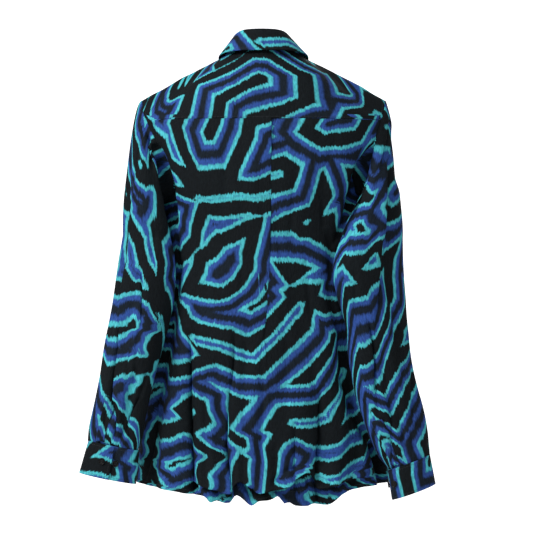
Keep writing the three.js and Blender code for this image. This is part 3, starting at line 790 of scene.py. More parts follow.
@dataclass
class Body:
    """The back with its pleat and crumpled tail, the yoke, the fronts and the placket.

    Attributes:
        step: The distance between rows of the back.
        front_step: The distance between rows of the fronts.
        side_columns: The number of columns of the back from the pleat to each side.
        layer: How far the pleat's outer layer lies from the one below it.
        pleat_zone: How far the pleat's columns reach to either side.
        pleat_steps: The number of columns in each stretch of the pleat's path.
        crumple_top: The height at which the tail begins to crumple.
        tail_station: The station of that height.
        tail_rows: The number of rows of the tail.
        allowance: The depth of the seam allowance under the yoke.
        drawn_in: How far the first rows below the yoke are drawn in towards it.
        yoke_size: The numbers of rows and columns of the yoke.
        lap: How far each front reaches past the middle.
        front_blend: How far from the middle the fronts part.
        front_lift: How far each front lies out of the form, or into it, at the lap.
        back_cut: How far down the printed cloth the back's seam edge lies.
        yoke_cut: Where the yoke's middle and its lower edge lie on the printed cloth.
        front_cut: How far from the cloth's middle, and how far up, the fronts' lapped edges lie.
        front_fade: How far from the middle and from the side seam the front's folds are whole.
        placket_lift: How far the placket's middle lies out of the front's.
        placket_cut: How far across and down from the front the placket was cut.
        pleat: How far the pleat overlaps at each height, open where it is below 0.
        hem: The back's lower edge, the fold above it, and how crumpled it is, across the back.
        crumple: How the crumpled tail falls and stands out, by the share of its rows.
    """

    PLEAT_FLANK: ClassVar[float] = -14.0
    step: float = 3.3
    front_step: float = 4.0
    side_columns: int = 72
    layer: float = 1.1
    pleat_zone: float = 30.0
    pleat_steps: tuple[int, ...] = (5, 8, 2, 2, 8, 2, 2, 8, 5)
    crumple_top: float = -668.0
    tail_station: float = 8.3
    tail_rows: int = 30
    allowance: float = 9.0
    drawn_in: Triple = (0.32, 0.2, 0.08)
    yoke_size: tuple[int, int] = (48, 150)
    lap: float = 16.0
    front_blend: float = 45.0
    front_lift: float = 0.95
    back_cut: float = 112.0
    yoke_cut: Pair = (-27.0, 121.0)
    front_cut: float = 60.0
    front_fade: Pair = (36.0, 26.0)
    placket_lift: float = 0.85
    placket_cut: Pair = (210.0, 26.0)
    pleat: Table = Table(
        "height overlap", (-102, 13), (-300, 11), (-420, 5), (-507, -6), (-740, -12),
    )
    hem: Table = Table(
        "across height fold crumple",
        (-214, -712, -704, 0), (-162, -720, -709, 0), (-121, -726, -711, 0.5),
        (-98, -729, -714, 0.9), (-91, -736, -715, 1), (-78, -741, -717, 1), (-64, -750, -723, 1),
        (-54, -740, -719, 1), (-45, -729, -703, 1), (-34, -732, -705, 1), (-20, -742, -713, 1),
        (-8, -735, -721, 1), (8, -733, -718, 1), (24, -730, -715, 1), (29, -740, -714, 1),
        (34, -751, -713, 1), (42, -743, -711, 1), (50, -742, -705, 1), (62, -743, -694, 1),
        (72, -743, -687, 1), (82, -742, -695, 1), (93, -742, -713, 1), (110, -741, -712, 1),
        (124, -731, -710, 1), (136, -724, -706, 0.9), (150, -719, -704, 0.6),
        (180, -714, -704, 0), (214, -712, -704, 0),
    )
    crumple: Table = Table(
        "share fall out",
        (0, 0, 0), (0.12, 0.18, 0.7), (0.3, 0.5, 5.5), (0.46, 0.86, 14), (0.54, 1, 18),
        (0.6, 0.93, 12), (0.66, 0.86, 0), (0.76, 0.97, -5), (0.86, 1.25, -2), (1, 2, 3),
    )

    def pleat_columns(self, height: Array) -> tuple[Array, Array]:
        """The folded path of the centre back pleat at each row.

        Args:
            height: The rows' heights.

        Returns:
            How far across, and how far out, each column of the pleat lies, row by row.
        """
        overlap = self.pleat.at(height).overlap
        fold, lift = smooth(-3, 3, overlap), self.layer * smooth(-11, 0, overlap)
        lip, tuck = overlap + 0.6 * fold, overlap + 0.5 - fold
        zone = np.full_like(overlap, self.pleat_zone)
        across = [-zone, np.full_like(zone, self.PLEAT_FLANK), overlap - 0.5, lip, tuck]
        out = [0.4 * lift, lift, lift, lift / 2, 0 * lift]
        corners = np.stack(across + [-x for x in reversed(across)], axis=1)
        lifts = np.stack(out + [-x for x in reversed(out)], axis=1)
        stretches = len(self.pleat_steps)
        places = np.concatenate([
            *(np.linspace(i, i + 1, count, endpoint=False) for i, count in enumerate(self.pleat_steps)),
            [stretches],
        ])
        low = np.minimum(places.astype(int), stretches - 1)
        share = places - low
        return (
            lerp(corners[:, low], corners[:, low + 1], share),
            lerp(lifts[:, low], lifts[:, low + 1], share),
        )

    def back_rows(self, stations: Array) -> Array:
        """Rows of the back panel, from its left edge to its right one.

        Args:
            stations: The rows' stations.

        Returns:
            The points.
        """
        ring = RINGS.at(stations[:, None])
        inner = turn_across(ring, np.array(self.pleat_zone))
        edge = armhole_turn(stations[:, None], "back")
        side = lerp(inner, edge, np.linspace(0, 1, self.side_columns + 1)[1:])
        across, lift = self.pleat_columns(ring.back[:, 0])
        turns = np.concatenate([-side[:, ::-1], turn_across(ring, across), side], axis=1)
        found = body_point(stations[:, None], turns)
        found[:, self.side_columns:-self.side_columns, 1] -= lift
        return found

    def back(self) -> Panel:
        """The back, folded at its pleat and crumpled along its tail."""
        upper = stations_every(self.step, 1, self.tail_station)
        body = self.back_rows(upper)
        settle = smooth(8, self.tail_station, upper)[:, None]
        body[..., 2] = lerp(body[..., 2], self.crumple_top, settle)
        points = np.concatenate([body, self.tail()[1:]])
        tuck = self.tuck_rows(points)
        points = np.concatenate([tuck, points])
        middle = points.shape[1] // 2
        flat = flat_cut(points, middle, down=self.back_cut)
        depth = -ripples(flat[..., 0], flat[..., 1], seed=11, height=0.8)
        depth *= smooth(-8, 30, flat[..., 1] - flat[0, 0, 1] - self.allowance)
        points = sunk(points) - outward_of(points) * depth[..., None]
        return Panel("back_cloth", points, flat_cut(points, middle, down=self.back_cut))

    def tail(self) -> Array:
        """Rows of the tail, which bunches and rolls under above its uneven hem."""
        shares = np.linspace(0, 1, self.tail_rows)
        tail = self.back_rows(lerp(self.tail_station, HEM_STATION, shares))
        shares = shares[:, None]
        edge = self.hem.at(tail[..., 0])
        wave = ripples(tail[..., 0], 0 * tail[..., 0], seed=5, height=0.05)
        row = self.crumple.at(np.clip(shares + wave * shares, 0, 1))
        plain = lerp(self.crumple_top, edge.height, shares)
        lapped = lerp(self.crumple_top, edge.fold, row.fall)
        lapped = np.where(row.fall > 1, lerp(edge.fold, edge.height, row.fall - 1), lapped)
        tail[..., 2] = lerp(plain, lapped, edge.crumple)
        tail[..., 1] -= row.out * edge.crumple
        return tail

    def tuck_rows(self, points: Array) -> Array:
        """The back's seam allowance, tucked up under the yoke.

        Args:
            points: The back's points, whose first rows are drawn in towards it.

        Returns:
            The rows above them.
        """
        shares = np.linspace(1, 0, 4)[:-1, None, None] * self.allowance
        up = unit(points[0] - points[1])
        inward = -outward_of(points[0])
        points[:3] += inward * np.array(self.drawn_in)[:, None, None]
        return points[0] + up * shares + inward * shares * 0.28

    def yoke(self) -> Panel:
        """The yoke over the upper back and both shoulders."""
        rows, columns = (np.arange(count) for count in self.yoke_size)
        rows, turns = rows[:, None], np.linspace(-YOKE_EDGE, YOKE_EDGE, len(columns))
        points = yoke_point(turns, rows / rows[-1])
        across, down = self.yoke_cut
        flat = flat_cut(points, points.shape[1] // 2, across=across)
        flat[..., 1] += down - flat[-1, :, 1]
        panel = Panel("yoke_cloth", points, flat)
        lift = ripples(flat[..., 0], flat[..., 1], seed=21, height=0.35)
        lift *= smooth(0, 10, np.minimum(columns, columns[::-1])) * smooth(0, 8, rows[-1] - rows)
        panel.points = panel.moved(lift)
        return panel

    def front(self, side: int) -> Panel:
        """One front, from the side seam to its lapped strip.

        Args:
            side: 1 for the wearer's right, -1 for the left.

        Returns:
            The panel.
        """
        upper = np.linspace(0, 1, 26)[:-1]
        stations = np.concatenate([upper, stations_every(self.front_step, 1, HEM_STATION)])
        rows = stations[:, None]
        ring, above = RINGS.at(rows), rows < 1
        for size in ("half_width", "squareness"):
            upper_size = lerp(getattr(NECK, size), getattr(SHOULDER, size), rows)
            setattr(ring, size, np.where(above, upper_size, getattr(ring, size)))
        edge = np.where(above, YOKE_EDGE, armhole_turn(rows, "front"))
        strip = turn_across(ring, np.linspace(self.lap, -self.lap, STRIP_COLUMNS), at_front=True)
        wide = lerp(edge, strip[:, :1], np.linspace(0, 1, 61)[:-1])
        points = body_point(rows, side * np.concatenate([wide, strip], axis=1))
        near = 1 - smooth(self.lap, self.front_blend, side * points[..., 0])
        points[..., 1] -= side * self.front_lift * near
        if side < 0:
            points = points[:, ::-1]
        middle, seam = (-1, 0) if side > 0 else (0, -1)
        flat = flat_cut(points, middle, across=-self.front_cut * side, down=-self.front_cut)
        x, z = side * points[..., 0], points[..., 2]
        # The creases differ a little from side to side.
        depth = shape_of(FRONT_CREASES, x * (1 + 0.04 * side), z + 14 * side)[0]
        depth += ripples(flat[..., 0], flat[..., 1], seed=33 + side, height=0.6)
        from_seam = np.linalg.norm(points - points[:, [seam]], axis=-1)
        middle_fade, seam_fade = self.front_fade
        depth *= smooth(self.lap, middle_fade, x) * smooth(0, seam_fade, from_seam)
        points = points - outward_of(points) * depth[..., None]
        name = "right" if side > 0 else "left"
        return Panel(f"front_{name}_cloth", points, flat)

    def placket(self, front: Panel) -> Panel:
        """The doubled band along the left front's edge.

        Args:
            front: The left front.

        Returns:
            The band, on the front's own points.
        """
        points = front.moved(self.placket_lift)[:, :STRIP_COLUMNS]
        flat = front.flat[:, :STRIP_COLUMNS] + self.placket_cut
        return Panel("placket_cloth", points, flat, thickness=0.9)


@dataclass
class Collar:
    """The stand round the neck and the leaf that turns down over it.

    Attributes:
        lap: How far each end of the stand reaches past centre front, as a turn.
        leaf_end: The turn at which each end of the leaf lies.
        belly: How far the leaf bulges as it falls.
        lift: How far the stand's ends part where they lap.
        lean: How far the fold line leans to the wearer's left.
        rise: How far the stand's seam edge lies above the neck's ring.
        stand_cut: Where the stand's middle and its seam edge lie on the printed cloth.
        leaf_cut: Where the leaf's middle and its fold lie on it.
        roll: How far out and up from the fold line the leaf's roll runs.
        edge: The leaf's free edge, by the turn.
    """

    lap: float = 0.035
    leaf_end: float = 0.488
    belly: float = 0.4
    lift: float = 0.95
    lean: float = 3.0
    rise: float = 0.4
    stand_cut: Pair = (90.0, 300.0)
    leaf_cut: Pair = (-120.0, 470.0)
    roll: tuple[Pair, ...] = ((0, 1.4), (0.7, 3.3), (2.6, 4.3), (4.6, 3))
    edge: Table = Table(
        "turn across forward height",
        (0, 0, -77, 13.6), (0.06, 32, -74, 13.6), (0.12, 55, -61, 12.8), (0.18, 69, -37, 11),
        (0.25, 76, -1, 7.5), (0.32, 74, 36, -7), (0.4, 63, 66, -38), (0.49, 43, 88, -76),
    )

    def stand(self) -> Panel:
        """The stand, from the neck seam to the fold line."""
        turns = np.linspace(-0.5 - self.lap, 0.5 + self.lap, 150)
        shares = np.linspace(0, 1, 12)[:, None, None]
        points = lerp(ring_point(NECK, turns), ring_point(FOLD_LINE, turns), shares)
        points += point(-self.lean, 0.0, 0.0) * shares + point(0.0, 0.0, self.rise)
        flat = flat_cut(points, points.shape[1] // 2, *self.stand_cut)
        panel = Panel("collar_stand_cloth", points, flat, thickness=1.1)
        lift = -np.sign(turns) * self.lift * smooth(0.44, 0.5, np.abs(turns))
        panel.points = panel.moved(np.broadcast_to(lift, points.shape[:2]))
        return panel

    def leaf(self) -> Panel:
        """The leaf, rolled over the stand and turned down to its free edge."""
        turns = np.linspace(-self.leaf_end, self.leaf_end, 170)
        fold = ring_point(FOLD_LINE, turns)
        away = unit(fold * [1, 1, 0])
        fold[:, 0] -= self.lean
        steps = np.linspace(0, len(self.roll) - 1, 12)
        out, up = (np.interp(steps, range(len(self.roll)), values) for values in zip(*self.roll))
        roll = fold + away * out[:, None, None] + point(0.0, 0.0, up)[:, None]
        edge = self.edge.at(np.abs(turns))
        free = point(np.sign(turns) * edge.across, edge.forward, edge.height)
        shares = np.linspace(0, 1, 24)[1:, None, None]
        fall = lerp(roll[-1], free, shares) + away * self.belly * np.sin(np.pi * shares)
        points = np.concatenate([roll, fall])
        flat = flat_cut(points, points.shape[1] // 2, *self.leaf_cut)
        return Panel("collar_leaf_cloth", points, flat, thickness=1.2)


@dataclass(frozen=True)
class Section:
    """A section of a cuff: its centre, its half sizes, its turn in degrees, and its slope."""

    out: float
    forward: float
    height: float
    long: float
    short: float
    swing: float
    tilt: float


@dataclass
class Sleeve:
    """One sleeve with its slit band and the cuff that it is gathered into.

    Angles run round from the outer side at 0 to the back at 90, in degrees.

    Attributes:
        name: Which of the two it is.
        side: 1 for the wearer's right, -1 for the left.
        sections: Its sections, by their height.
        folds: Its long folds: angle, width in degrees, depth, and the heights of both ends.
        push: How straight its cloth leaves the armhole.
        cuff: The cuff's middle section.
        lean: How far the cuff leans out, in degrees.
        depth: The depth of the cuff.
        flare: How much wider the cuff is at its lower edge than in its middle.
        edge: The angle of the cuff's outer end.
        creases: The creases that the picture shows.
        hidden: The seeded creases on the other sides.
        across: Where its middle lies across the printed cloth.
        step: The distance between rows.
        columns: The number of steps round it.
        droop: How much of its first direction is down.
        head_flare: How much of it is to the back and the front.
        back_sweep: The angle of the seam under the arm.
        underarm: How far to either side of that seam the armhole is eased, in degrees.
        ease: How much further out it starts there.
        arrive: How straight its cap comes down to the first section.
        tuck: How far in and down from its start the row under the armhole's edge lies.
        gap: How far it starts from the armhole.
        clearance: How far it stays from the body's side.
        slope: How fast it gets there, below the armhole.
        lap: How far the cuff's ends lap, in degrees.
        cuff_lift: How far the cuff's ends lie outside and inside its middle size.
        cuff_size: The numbers of rows and columns of the cuff.
        cuff_cut: How far across from the sleeve's middle, and how far down, it was cut.
        slit_turn: How far before the cuff's outer end the slit lies, in degrees.
        slit_reach: How far its band reaches to either side, in degrees.
        slit_rows: The first of the sleeve's rows under it, and the one after the last.
        slit_lift: How far its middle lies out of the sleeve's.
        slit_cut: How far across and down from the sleeve it was cut.
    """

    INTO_CUFF: ClassVar[tuple[float, ...]] = (2.0, 4.0)
    TOP_CUT: ClassVar[float] = -30.0
    name: str
    side: int
    sections: Table
    folds: tuple[tuple[float, float, float, float, float], ...]
    push: float
    cuff: Section
    lean: float
    depth: float
    flare: float
    edge: float
    creases: tuple[Crease, ...]
    hidden: tuple[Crease, ...]
    across: float
    step: float = 3.4
    columns: int = 140
    droop: float = 0.42
    head_flare: float = 0.5
    back_sweep: float = 212.0
    underarm: float = 45.0
    ease: float = 1.2
    arrive: float = 0.8
    tuck: Pair = (4.0, 0.8)
    gap: float = 0.9
    clearance: float = 9.0
    slope: float = 0.12
    lap: float = 38.0
    cuff_lift: float = 1.6
    cuff_size: tuple[int, int] = (26, 150)
    cuff_cut: Pair = (300.0, 620.0)
    slit_turn: float = 34.0
    slit_reach: float = 12.0
    slit_rows: tuple[int, int] = (-26, -3)
    slit_lift: float = 0.9
    slit_cut: Pair = (150.0, 40.0)

    def armhole(self) -> tuple[Array, Array]:
        """The armhole's edge, from the shoulder tip round the back and up the front.

        Returns:
            The angle of each point round the sleeve, and the points.
        """
        yoke_back = np.linspace(SIDE_TURN, ARMHOLE.rows[0, 1], 30)[:-1]
        yoke_front = np.linspace(YOKE_EDGE, SIDE_TURN, 30)[1:]
        down = 1 + 3 * np.sin(np.linspace(0, np.pi / 2, 160)) ** 0.8
        down[-1] = ARMPIT
        back = sunk(body_point(down, self.side * armhole_turn(down, "back")))
        front = body_point(down, self.side * armhole_turn(down, "front"))[:-1][::-1]
        loop = np.concatenate([
            yoke_point(self.side * yoke_back, 1.0), back, front,
            yoke_point(self.side * yoke_front, 1.0),
        ])
        lengths = lengths_along(loop, 0)
        bottom, whole = lengths[len(yoke_back) + len(down) - 1], lengths[-1]
        rest = 360 - self.back_sweep
        angles = np.where(
            lengths <= bottom,
            self.back_sweep * lengths / bottom,
            self.back_sweep + rest * (lengths - bottom) / (whole - bottom),
        )
        return angles, loop

    def section_point(
        self, section: Section | SimpleNamespace, angle: Array, grow: Array | float = 0
    ) -> Array:
        """Points round a section of the sleeve or the cuff.

        Args:
            section: Its centre, half sizes, swing and tilt.
            angle: The angles, in degrees.
            grow: How much larger it is all round.

        Returns:
            The points.
        """
        swing, tilt = np.radians(section.swing), np.radians(section.tilt)
        around = np.radians(-angle) - swing
        along = (section.long + grow) * np.cos(around)
        aside = (section.short + grow) * np.sin(around)
        outward = along * np.cos(swing) - aside * np.sin(swing)
        forward = along * np.sin(swing) + aside * np.cos(swing)
        return point(
            self.side * (section.out + outward * np.cos(tilt)),
            section.forward + forward,
            section.height + outward * np.sin(tilt),
        )

    def keep_clear(self, points: Array, distance: Array | float) -> Array:
        """Moves what lies too near the body's side out of it.

        Args:
            points: Points of the sleeve.
            distance: How far from the body each has to be.

        Returns:
            The points, moved where they have to be.
        """
        ring = SIDES.at(points[..., 2])
        depth = np.where(points[..., 1] < 0, ring.depth_back, ring.depth_front) + distance
        across = np.abs(points[..., 0] / (ring.half_width + distance)) ** ring.squareness
        reach = across + np.abs(points[..., 1] / depth) ** ring.squareness
        radius = np.minimum(reach ** (1 / ring.squareness), 1)
        return points / np.stack([radius, radius, np.ones_like(radius)], axis=-1)

    def fold_depth(self, angle: Array, height: Array) -> Array:
        """How deep the long folds are at some places."""
        depth = np.zeros(np.broadcast(angle, height).shape)
        for middle, width, deep, top, end in self.folds:
            along = (top - height) / (top - end)
            fade = smooth(0, 0.25, along) * (1 - smooth(0.75, 1, along))
            depth += deep * fade * hill(degrees_apart(angle, middle) / width)
        return depth

    def angles(self) -> Array:
        """The angles of its columns, from the seam under the arm once round."""
        return np.linspace(self.back_sweep - 360, self.back_sweep, self.columns + 1)

    def arm(self) -> Panel:
        """The sleeve, opened at the seam under the arm."""
        points = self.smooth_rows()
        panel = Panel(
            f"sleeve_{self.name}_cloth", points, self.cut_of(points), mirrored=self.side > 0)
        angles, rows, heights = self.angles(), np.arange(len(points))[:, None], points[..., 2]
        depth = self.fold_depth(angles, heights)
        # The picture's creases are where the cloth faces back, and the seeded ones elsewhere.
        facing = smooth(0, 0.35, -panel.normals()[..., 1])
        deep, shift = shape_of(self.creases, points[..., 0], heights)
        hidden, _ = shape_of(self.hidden, angles + 0 * heights, heights, around=True)
        depth += lerp(hidden * smooth(10, 30, rows), deep, facing)
        round_the_arm = np.abs(degrees_apart(angles, 0)) * 0.95
        depth += ripples(round_the_arm, panel.flat[..., 1], seed=50 + self.side, height=0.7)
        # Its first rows are held by the armhole, and its last ones by the cuff, which they go into.
        free = smooth(1, 5, rows)
        last = len(points) - len(self.INTO_CUFF) - 1
        sewn = smooth(last - 7, last - 1, rows)
        in_cuff = 0.9 * smooth(last, last + 1, rows) - 0.1 - self.cuff_lifts(angles)
        folded = panel.moved(-lerp(depth * free, in_cuff, sewn))
        folded[..., 0] += shift * facing * free * (1 - sewn)
        # At the armhole it may lie within the body's oval, and further down it stays clear of it.
        distance = lerp(-30.0, 2.0, smooth(4, 26, rows)) + 0 * heights
        panel.points = self.keep_clear(folded, distance)
        panel.flat = self.cut_of(panel.points)
        return panel

    def smooth_rows(self) -> Array:
        """The sleeve's rows before its folds, from under the yoke to inside the cuff."""
        angles = self.angles()
        loop_angles, loop = self.armhole()
        edge = np.stack([np.interp(angles % 360, loop_angles, line) for line in loop.T], axis=1)
        start = edge.copy()
        under = hill(degrees_apart(angles, self.back_sweep) / self.underarm)
        start[:, 0] += self.side * (self.gap + self.ease * under)
        bottom, top = self.sections.rows[[0, -1], 0]
        end = self.section_point(self.sections.at(top), angles)
        flare = -self.head_flare * np.sin(np.radians(angles))
        leave = point(self.side, flare, -self.droop) * self.push
        arrive = point(0.0, 0.0, -self.arrive * np.linalg.norm(end - start, axis=1))
        shares = np.linspace(0, 1, 36)[:-1, None, None]
        cap = hermite(start, leave, end, arrive, shares)
        away = np.minimum(self.clearance, self.slope * np.linalg.norm(cap - edge, axis=-1))
        # The first row stays where it is.
        away[0] = -50
        heights = np.linspace(top, bottom, round((top - bottom) / self.step) + 1)[:, None]
        arm = self.keep_clear(self.section_point(self.sections.at(heights), angles), self.clearance)
        into_cuff = unit(arm[-1] - arm[-2]) * np.array(self.INTO_CUFF)[:, None, None]
        tuck = start - point(self.side * self.tuck[0], 0.0, self.tuck[1])
        return np.concatenate([tuck[None], self.keep_clear(cap, away), arm, arm[-1] + into_cuff])

    def cut_of(self, points: Array) -> Array:
        """The flat cut of the sleeve's points, its middle column straight."""
        return flat_cut(points, self.columns // 2, across=self.across, down=self.TOP_CUT)

    def cuff_lifts(self, angles: Array) -> Array:
        """How far outside its middle size the winding of the cuff is at some angles."""
        wound = (angles - self.edge + self.lap) % 360 / (360 + self.lap)
        return lerp(-self.cuff_lift, self.cuff_lift, wound)

    def cuff_panel(self) -> Panel:
        """The cuff, wound once round and lapped, the upper end outside."""
        rows, columns = self.cuff_size
        angles = np.linspace(self.edge - self.lap, self.edge + 360, columns)
        share = np.linspace(0, 1, rows)[:, None]
        lift = np.linspace(-self.cuff_lift, self.cuff_lift, columns)
        points = self.section_point(self.cuff, angles, lift + self.flare * (2 * share - 1))
        down = self.depth * (share - 0.5)
        points[..., 0] += self.side * down * math.sin(math.radians(self.lean))
        points[..., 2] -= down * math.cos(math.radians(self.lean))
        across, down = self.cuff_cut
        flat = flat_cut(points, columns // 2, self.across + across, down)
        return Panel(
            f"cuff_{self.name}_cloth", points, flat, mirrored=self.side > 0, thickness=1.3)

    def slit_band(self, arm: Panel) -> Panel:
        """The band along the slit above the cuff, on the sleeve's own points."""
        middle = (self.edge - self.slit_turn - self.back_sweep) % 360 + self.back_sweep - 360
        near = np.flatnonzero(np.abs(self.angles() - middle) < self.slit_reach)
        rows, columns = slice(*self.slit_rows), slice(near[0], near[-1] + 1)
        points = arm.moved(self.slit_lift)[rows, columns]
        flat = arm.flat[rows, columns] + self.slit_cut
        return Panel(f"slit_{self.name}_cloth", points, flat, arm.mirrored, 0.7)


SECTION = "height out forward long short swing tilt"
RIGHT_SLEEVE = Sleeve(
    name="right", side=1, push=36, lean=10, depth=50, flare=0.5, edge=155, across=180,
    sections=Table(
        SECTION,
        (-300, 176, -52, 62, 47, 32, 2), (-345, 174, -59, 70, 44, 36, 3),
        (-390, 179, -61, 67, 43, 36, 5), (-440, 188, -63, 57, 43, 32, 6),
        (-491, 193, -67, 57, 41, 28, 8), (-541, 201, -72, 56, 38, 24, 10),
        (-592, 215, -76, 53, 35, 20, 14), (-640, 231, -78, 47, 32, 16, 17),
        (-672.6, 241.8, -78, 37.5, 28, 12, 19.5),
    ),
    folds=(
        (2, 30, 6, -100, -225), (44, 12, 9, -120, -560), (78, 14, 6, -420, -660),
        (118, 16, 8, -150, -330), (250, 18, 8, -200, -600), (318, 16, 6, -300, -640),
    ),
    cuff=Section(245.5, -79, -698, 38.5, 29, 12, 19.5),
    creases=creases_of(
        (217, -94, 197, -180, 3.6, 9, 1, 0.2, 5),
        (229, -112, 206, -196, 3.6, 7, 1, 0.2, 4),
        (226, -150, 214, -214, 3, 4, 1, 0.3),
        (209, -170, 202, -304, 5, 13, 0, -0.3, 9),
        (202, -276, 190, -412, 5, 10, 1, -0.3, 7),
        (190, -390, 186, -470, 4, 4, 0, -0.4),
        (173, -440, 183, -556, 4, 12, -1, -0.3, 7),
        (182, -540, 190, -590, 4, 5, 0, -0.4),
        (252, -510, 249, -600, 4, 6, 1, 0.4),
        (236, -420, 246, -520, 6, 4, 2, 0.3),
        (128, -262, 140, -330, 5, 4, 2),
        (150, -340, 156, -440, 4, 3, 1),
        (222, -300, 216, -400, 5, 4, -2, 0.4),
        (205, -560, 214, -640, 5, 7, 1, -0.3, 4),
        (228, -590, 238, -664, 4, 5, 1, 0.3),
        (196, -600, 214, -668, 4, 7, -1, -0.3, 4),
        (246, -620, 254, -664, 4, 4, 0),
        (160, -560, 176, -600, 4, 3, 0),
    ),
    hidden=scattered(61, 16, (-170, 70), (-130, -660), 7.0),
)
LEFT_SLEEVE = Sleeve(
    name="left", side=-1, push=54, lean=11, depth=56, flare=2.5, edge=90, across=-240,
    sections=Table(
        SECTION,
        (-296, 191, -34, 46, 48, 20, 2), (-337, 192, -42, 52, 47, 24, 4),
        (-388, 198, -50, 54, 45, 26, 6), (-439, 208, -57, 52, 43, 26, 8),
        (-490, 219, -64, 50, 40, 24, 9), (-541, 229.5, -69, 46.5, 36, 20, 10),
        (-592, 240, -72, 45.5, 32, 16, 11), (-626, 247, -73, 45, 28, 12, 11),
        (-645.5, 250.5, -73, 43, 20.5, 8, 11),
    ),
    folds=(
        (24, 12, 7, -130, -520), (66, 13, 7, -330, -640), (104, 12, 9, -500, -650),
        (240, 18, 8, -220, -600), (310, 16, 6, -300, -640),
    ),
    cuff=Section(254, -73, -673.5, 45.5, 24, 6, 11),
    creases=creases_of(
        (-204, -80, -188, -140, 5, 9, 0, 0.3),
        (-190, -124, -184, -186, 5, 8, 0, 0.4),
        (-203, -118, -226, -260, 4, 5, 2, 0.4),
        (-226, -240, -237, -372, 4, 6, 0, 0.4),
        (-237, -344, -241, -480, 4, 15, 0, 0.2, -8),
        (-241, -450, -254, -594, 4.6, 18, 0, 0.2, -9),
        (-205, -350, -204, -452, 3.6, 8, 0, 0, 4),
        (-206, -440, -212, -520, 4, 4, 1),
        (-180, -290, -186, -350, 4, 3, 1),
        (-244, -572, -250, -640, 4, 10, 1, -0.2, 6),
        (-229, -622, -244, -648, 3, 4, 0),
        (-203, -566, -226, -630, 4.4, 12, 1, 0.2, -7),
        (-190, -520, -206, -572, 4, 6, 0, 0.3),
        (-222, -480, -226, -570, 6, 5, 2),
        (-262, -560, -268, -640, 4, 5, 0),
        (-232, -590, -236, -646, 4, 5, 0, 0.3),
        (-214, -600, -222, -646, 4, 6, 0, -0.3),
        (-276, -600, -280, -646, 4, 3, 0),
    ),
    hidden=scattered(62, 16, (-170, 70), (-130, -630), 7.0),
)


class Nodes:
    """Adds nodes to a node tree, each in one call."""

    def __init__(self, tree: bpy.types.NodeTree) -> None:
        """Keeps the tree.

        Args:
            tree: The tree to add to.
        """
        self.tree = tree

    def node(
        self, kind: str, settings: dict[str, object] | None = None,
        sockets: dict[str | int, object] | None = None,
    ) -> bpy.types.Node:
        """Adds a node, sets it up, and then fills or links its sockets.

        Args:
            kind: The node's type.
            settings: Its settings by name, set first.
            sockets: Its inputs by name or number: values, sockets or signals.

        Returns:
            The node.
        """
        made = self.tree.nodes.new(kind)
        for name, value in (settings or {}).items():
            setattr(made, name, value)
        for name, value in (sockets or {}).items():
            value = getattr(value, "socket", value)
            if isinstance(value, bpy.types.NodeSocket):
                self.tree.links.new(value, made.inputs[name])
            else:
                made.inputs[name].default_value = value
        return made


class Signal:
    """A number that changes over a surface: an expression on it adds Math nodes."""

    def __init__(self, shader: "Shader", socket: bpy.types.NodeSocket) -> None:
        """Wraps a socket.

        Args:
            shader: The shader that it belongs to.
            socket: The output that it stands for.
        """
        self.shader, self.socket = shader, socket

    def math(self, operation: str, *values: object) -> "Signal":
        """Adds one Math node with that operation on those values."""
        made = self.shader.node("ShaderNodeMath", {"operation": operation}, dict(enumerate(values)))
        return Signal(self.shader, made.outputs[0])

    def __add__(self, other: object) -> "Signal":
        """self + other."""
        return self.math("ADD", self, other)

    __radd__ = __add__

    def __sub__(self, other: object) -> "Signal":
        """self - other."""
        return self.math("SUBTRACT", self, other)

    def __rsub__(self, other: object) -> "Signal":
        """other - self."""
        return self.math("SUBTRACT", other, self)

    def __mul__(self, other: object) -> "Signal":
        """self * other."""
        return self.math("MULTIPLY", self, other)

    __rmul__ = __mul__

    def __truediv__(self, other: object) -> "Signal":
        """self / other."""
        return self.math("DIVIDE", self, other)

    def __rtruediv__(self, other: object) -> "Signal":
        """other / self."""
        return self.math("DIVIDE", other, self)

    def __abs__(self) -> "Signal":
        """The distance from 0."""
        return self.math("ABSOLUTE", self)

    def fraction(self) -> "Signal":
        """What is left above the whole number below."""
        return self.math("FRACT", self)

    def step(self, start: float, end: float) -> "Signal":
        """Rises softly from 0 at start to 1 at end."""
        made = self.shader.node(
            "ShaderNodeMapRange", {"interpolation_type": "SMOOTHSTEP"},
            {0: self, 1: start, 2: end, 3: 0.0, 4: 1.0})
        return Signal(self.shader, made.outputs[0])


Colour = Triple


def linear(colour: Colour) -> tuple[float, float, float, float]:
    """A colour as seen on screen, from 0 to 255, turned to the light that it reflects."""
    shares = (channel / 255 for channel in colour)
    return (*((s / 12.92 if s <= 0.04045 else ((s + 0.055) / 1.055) ** 2.4) for s in shares), 1.0)


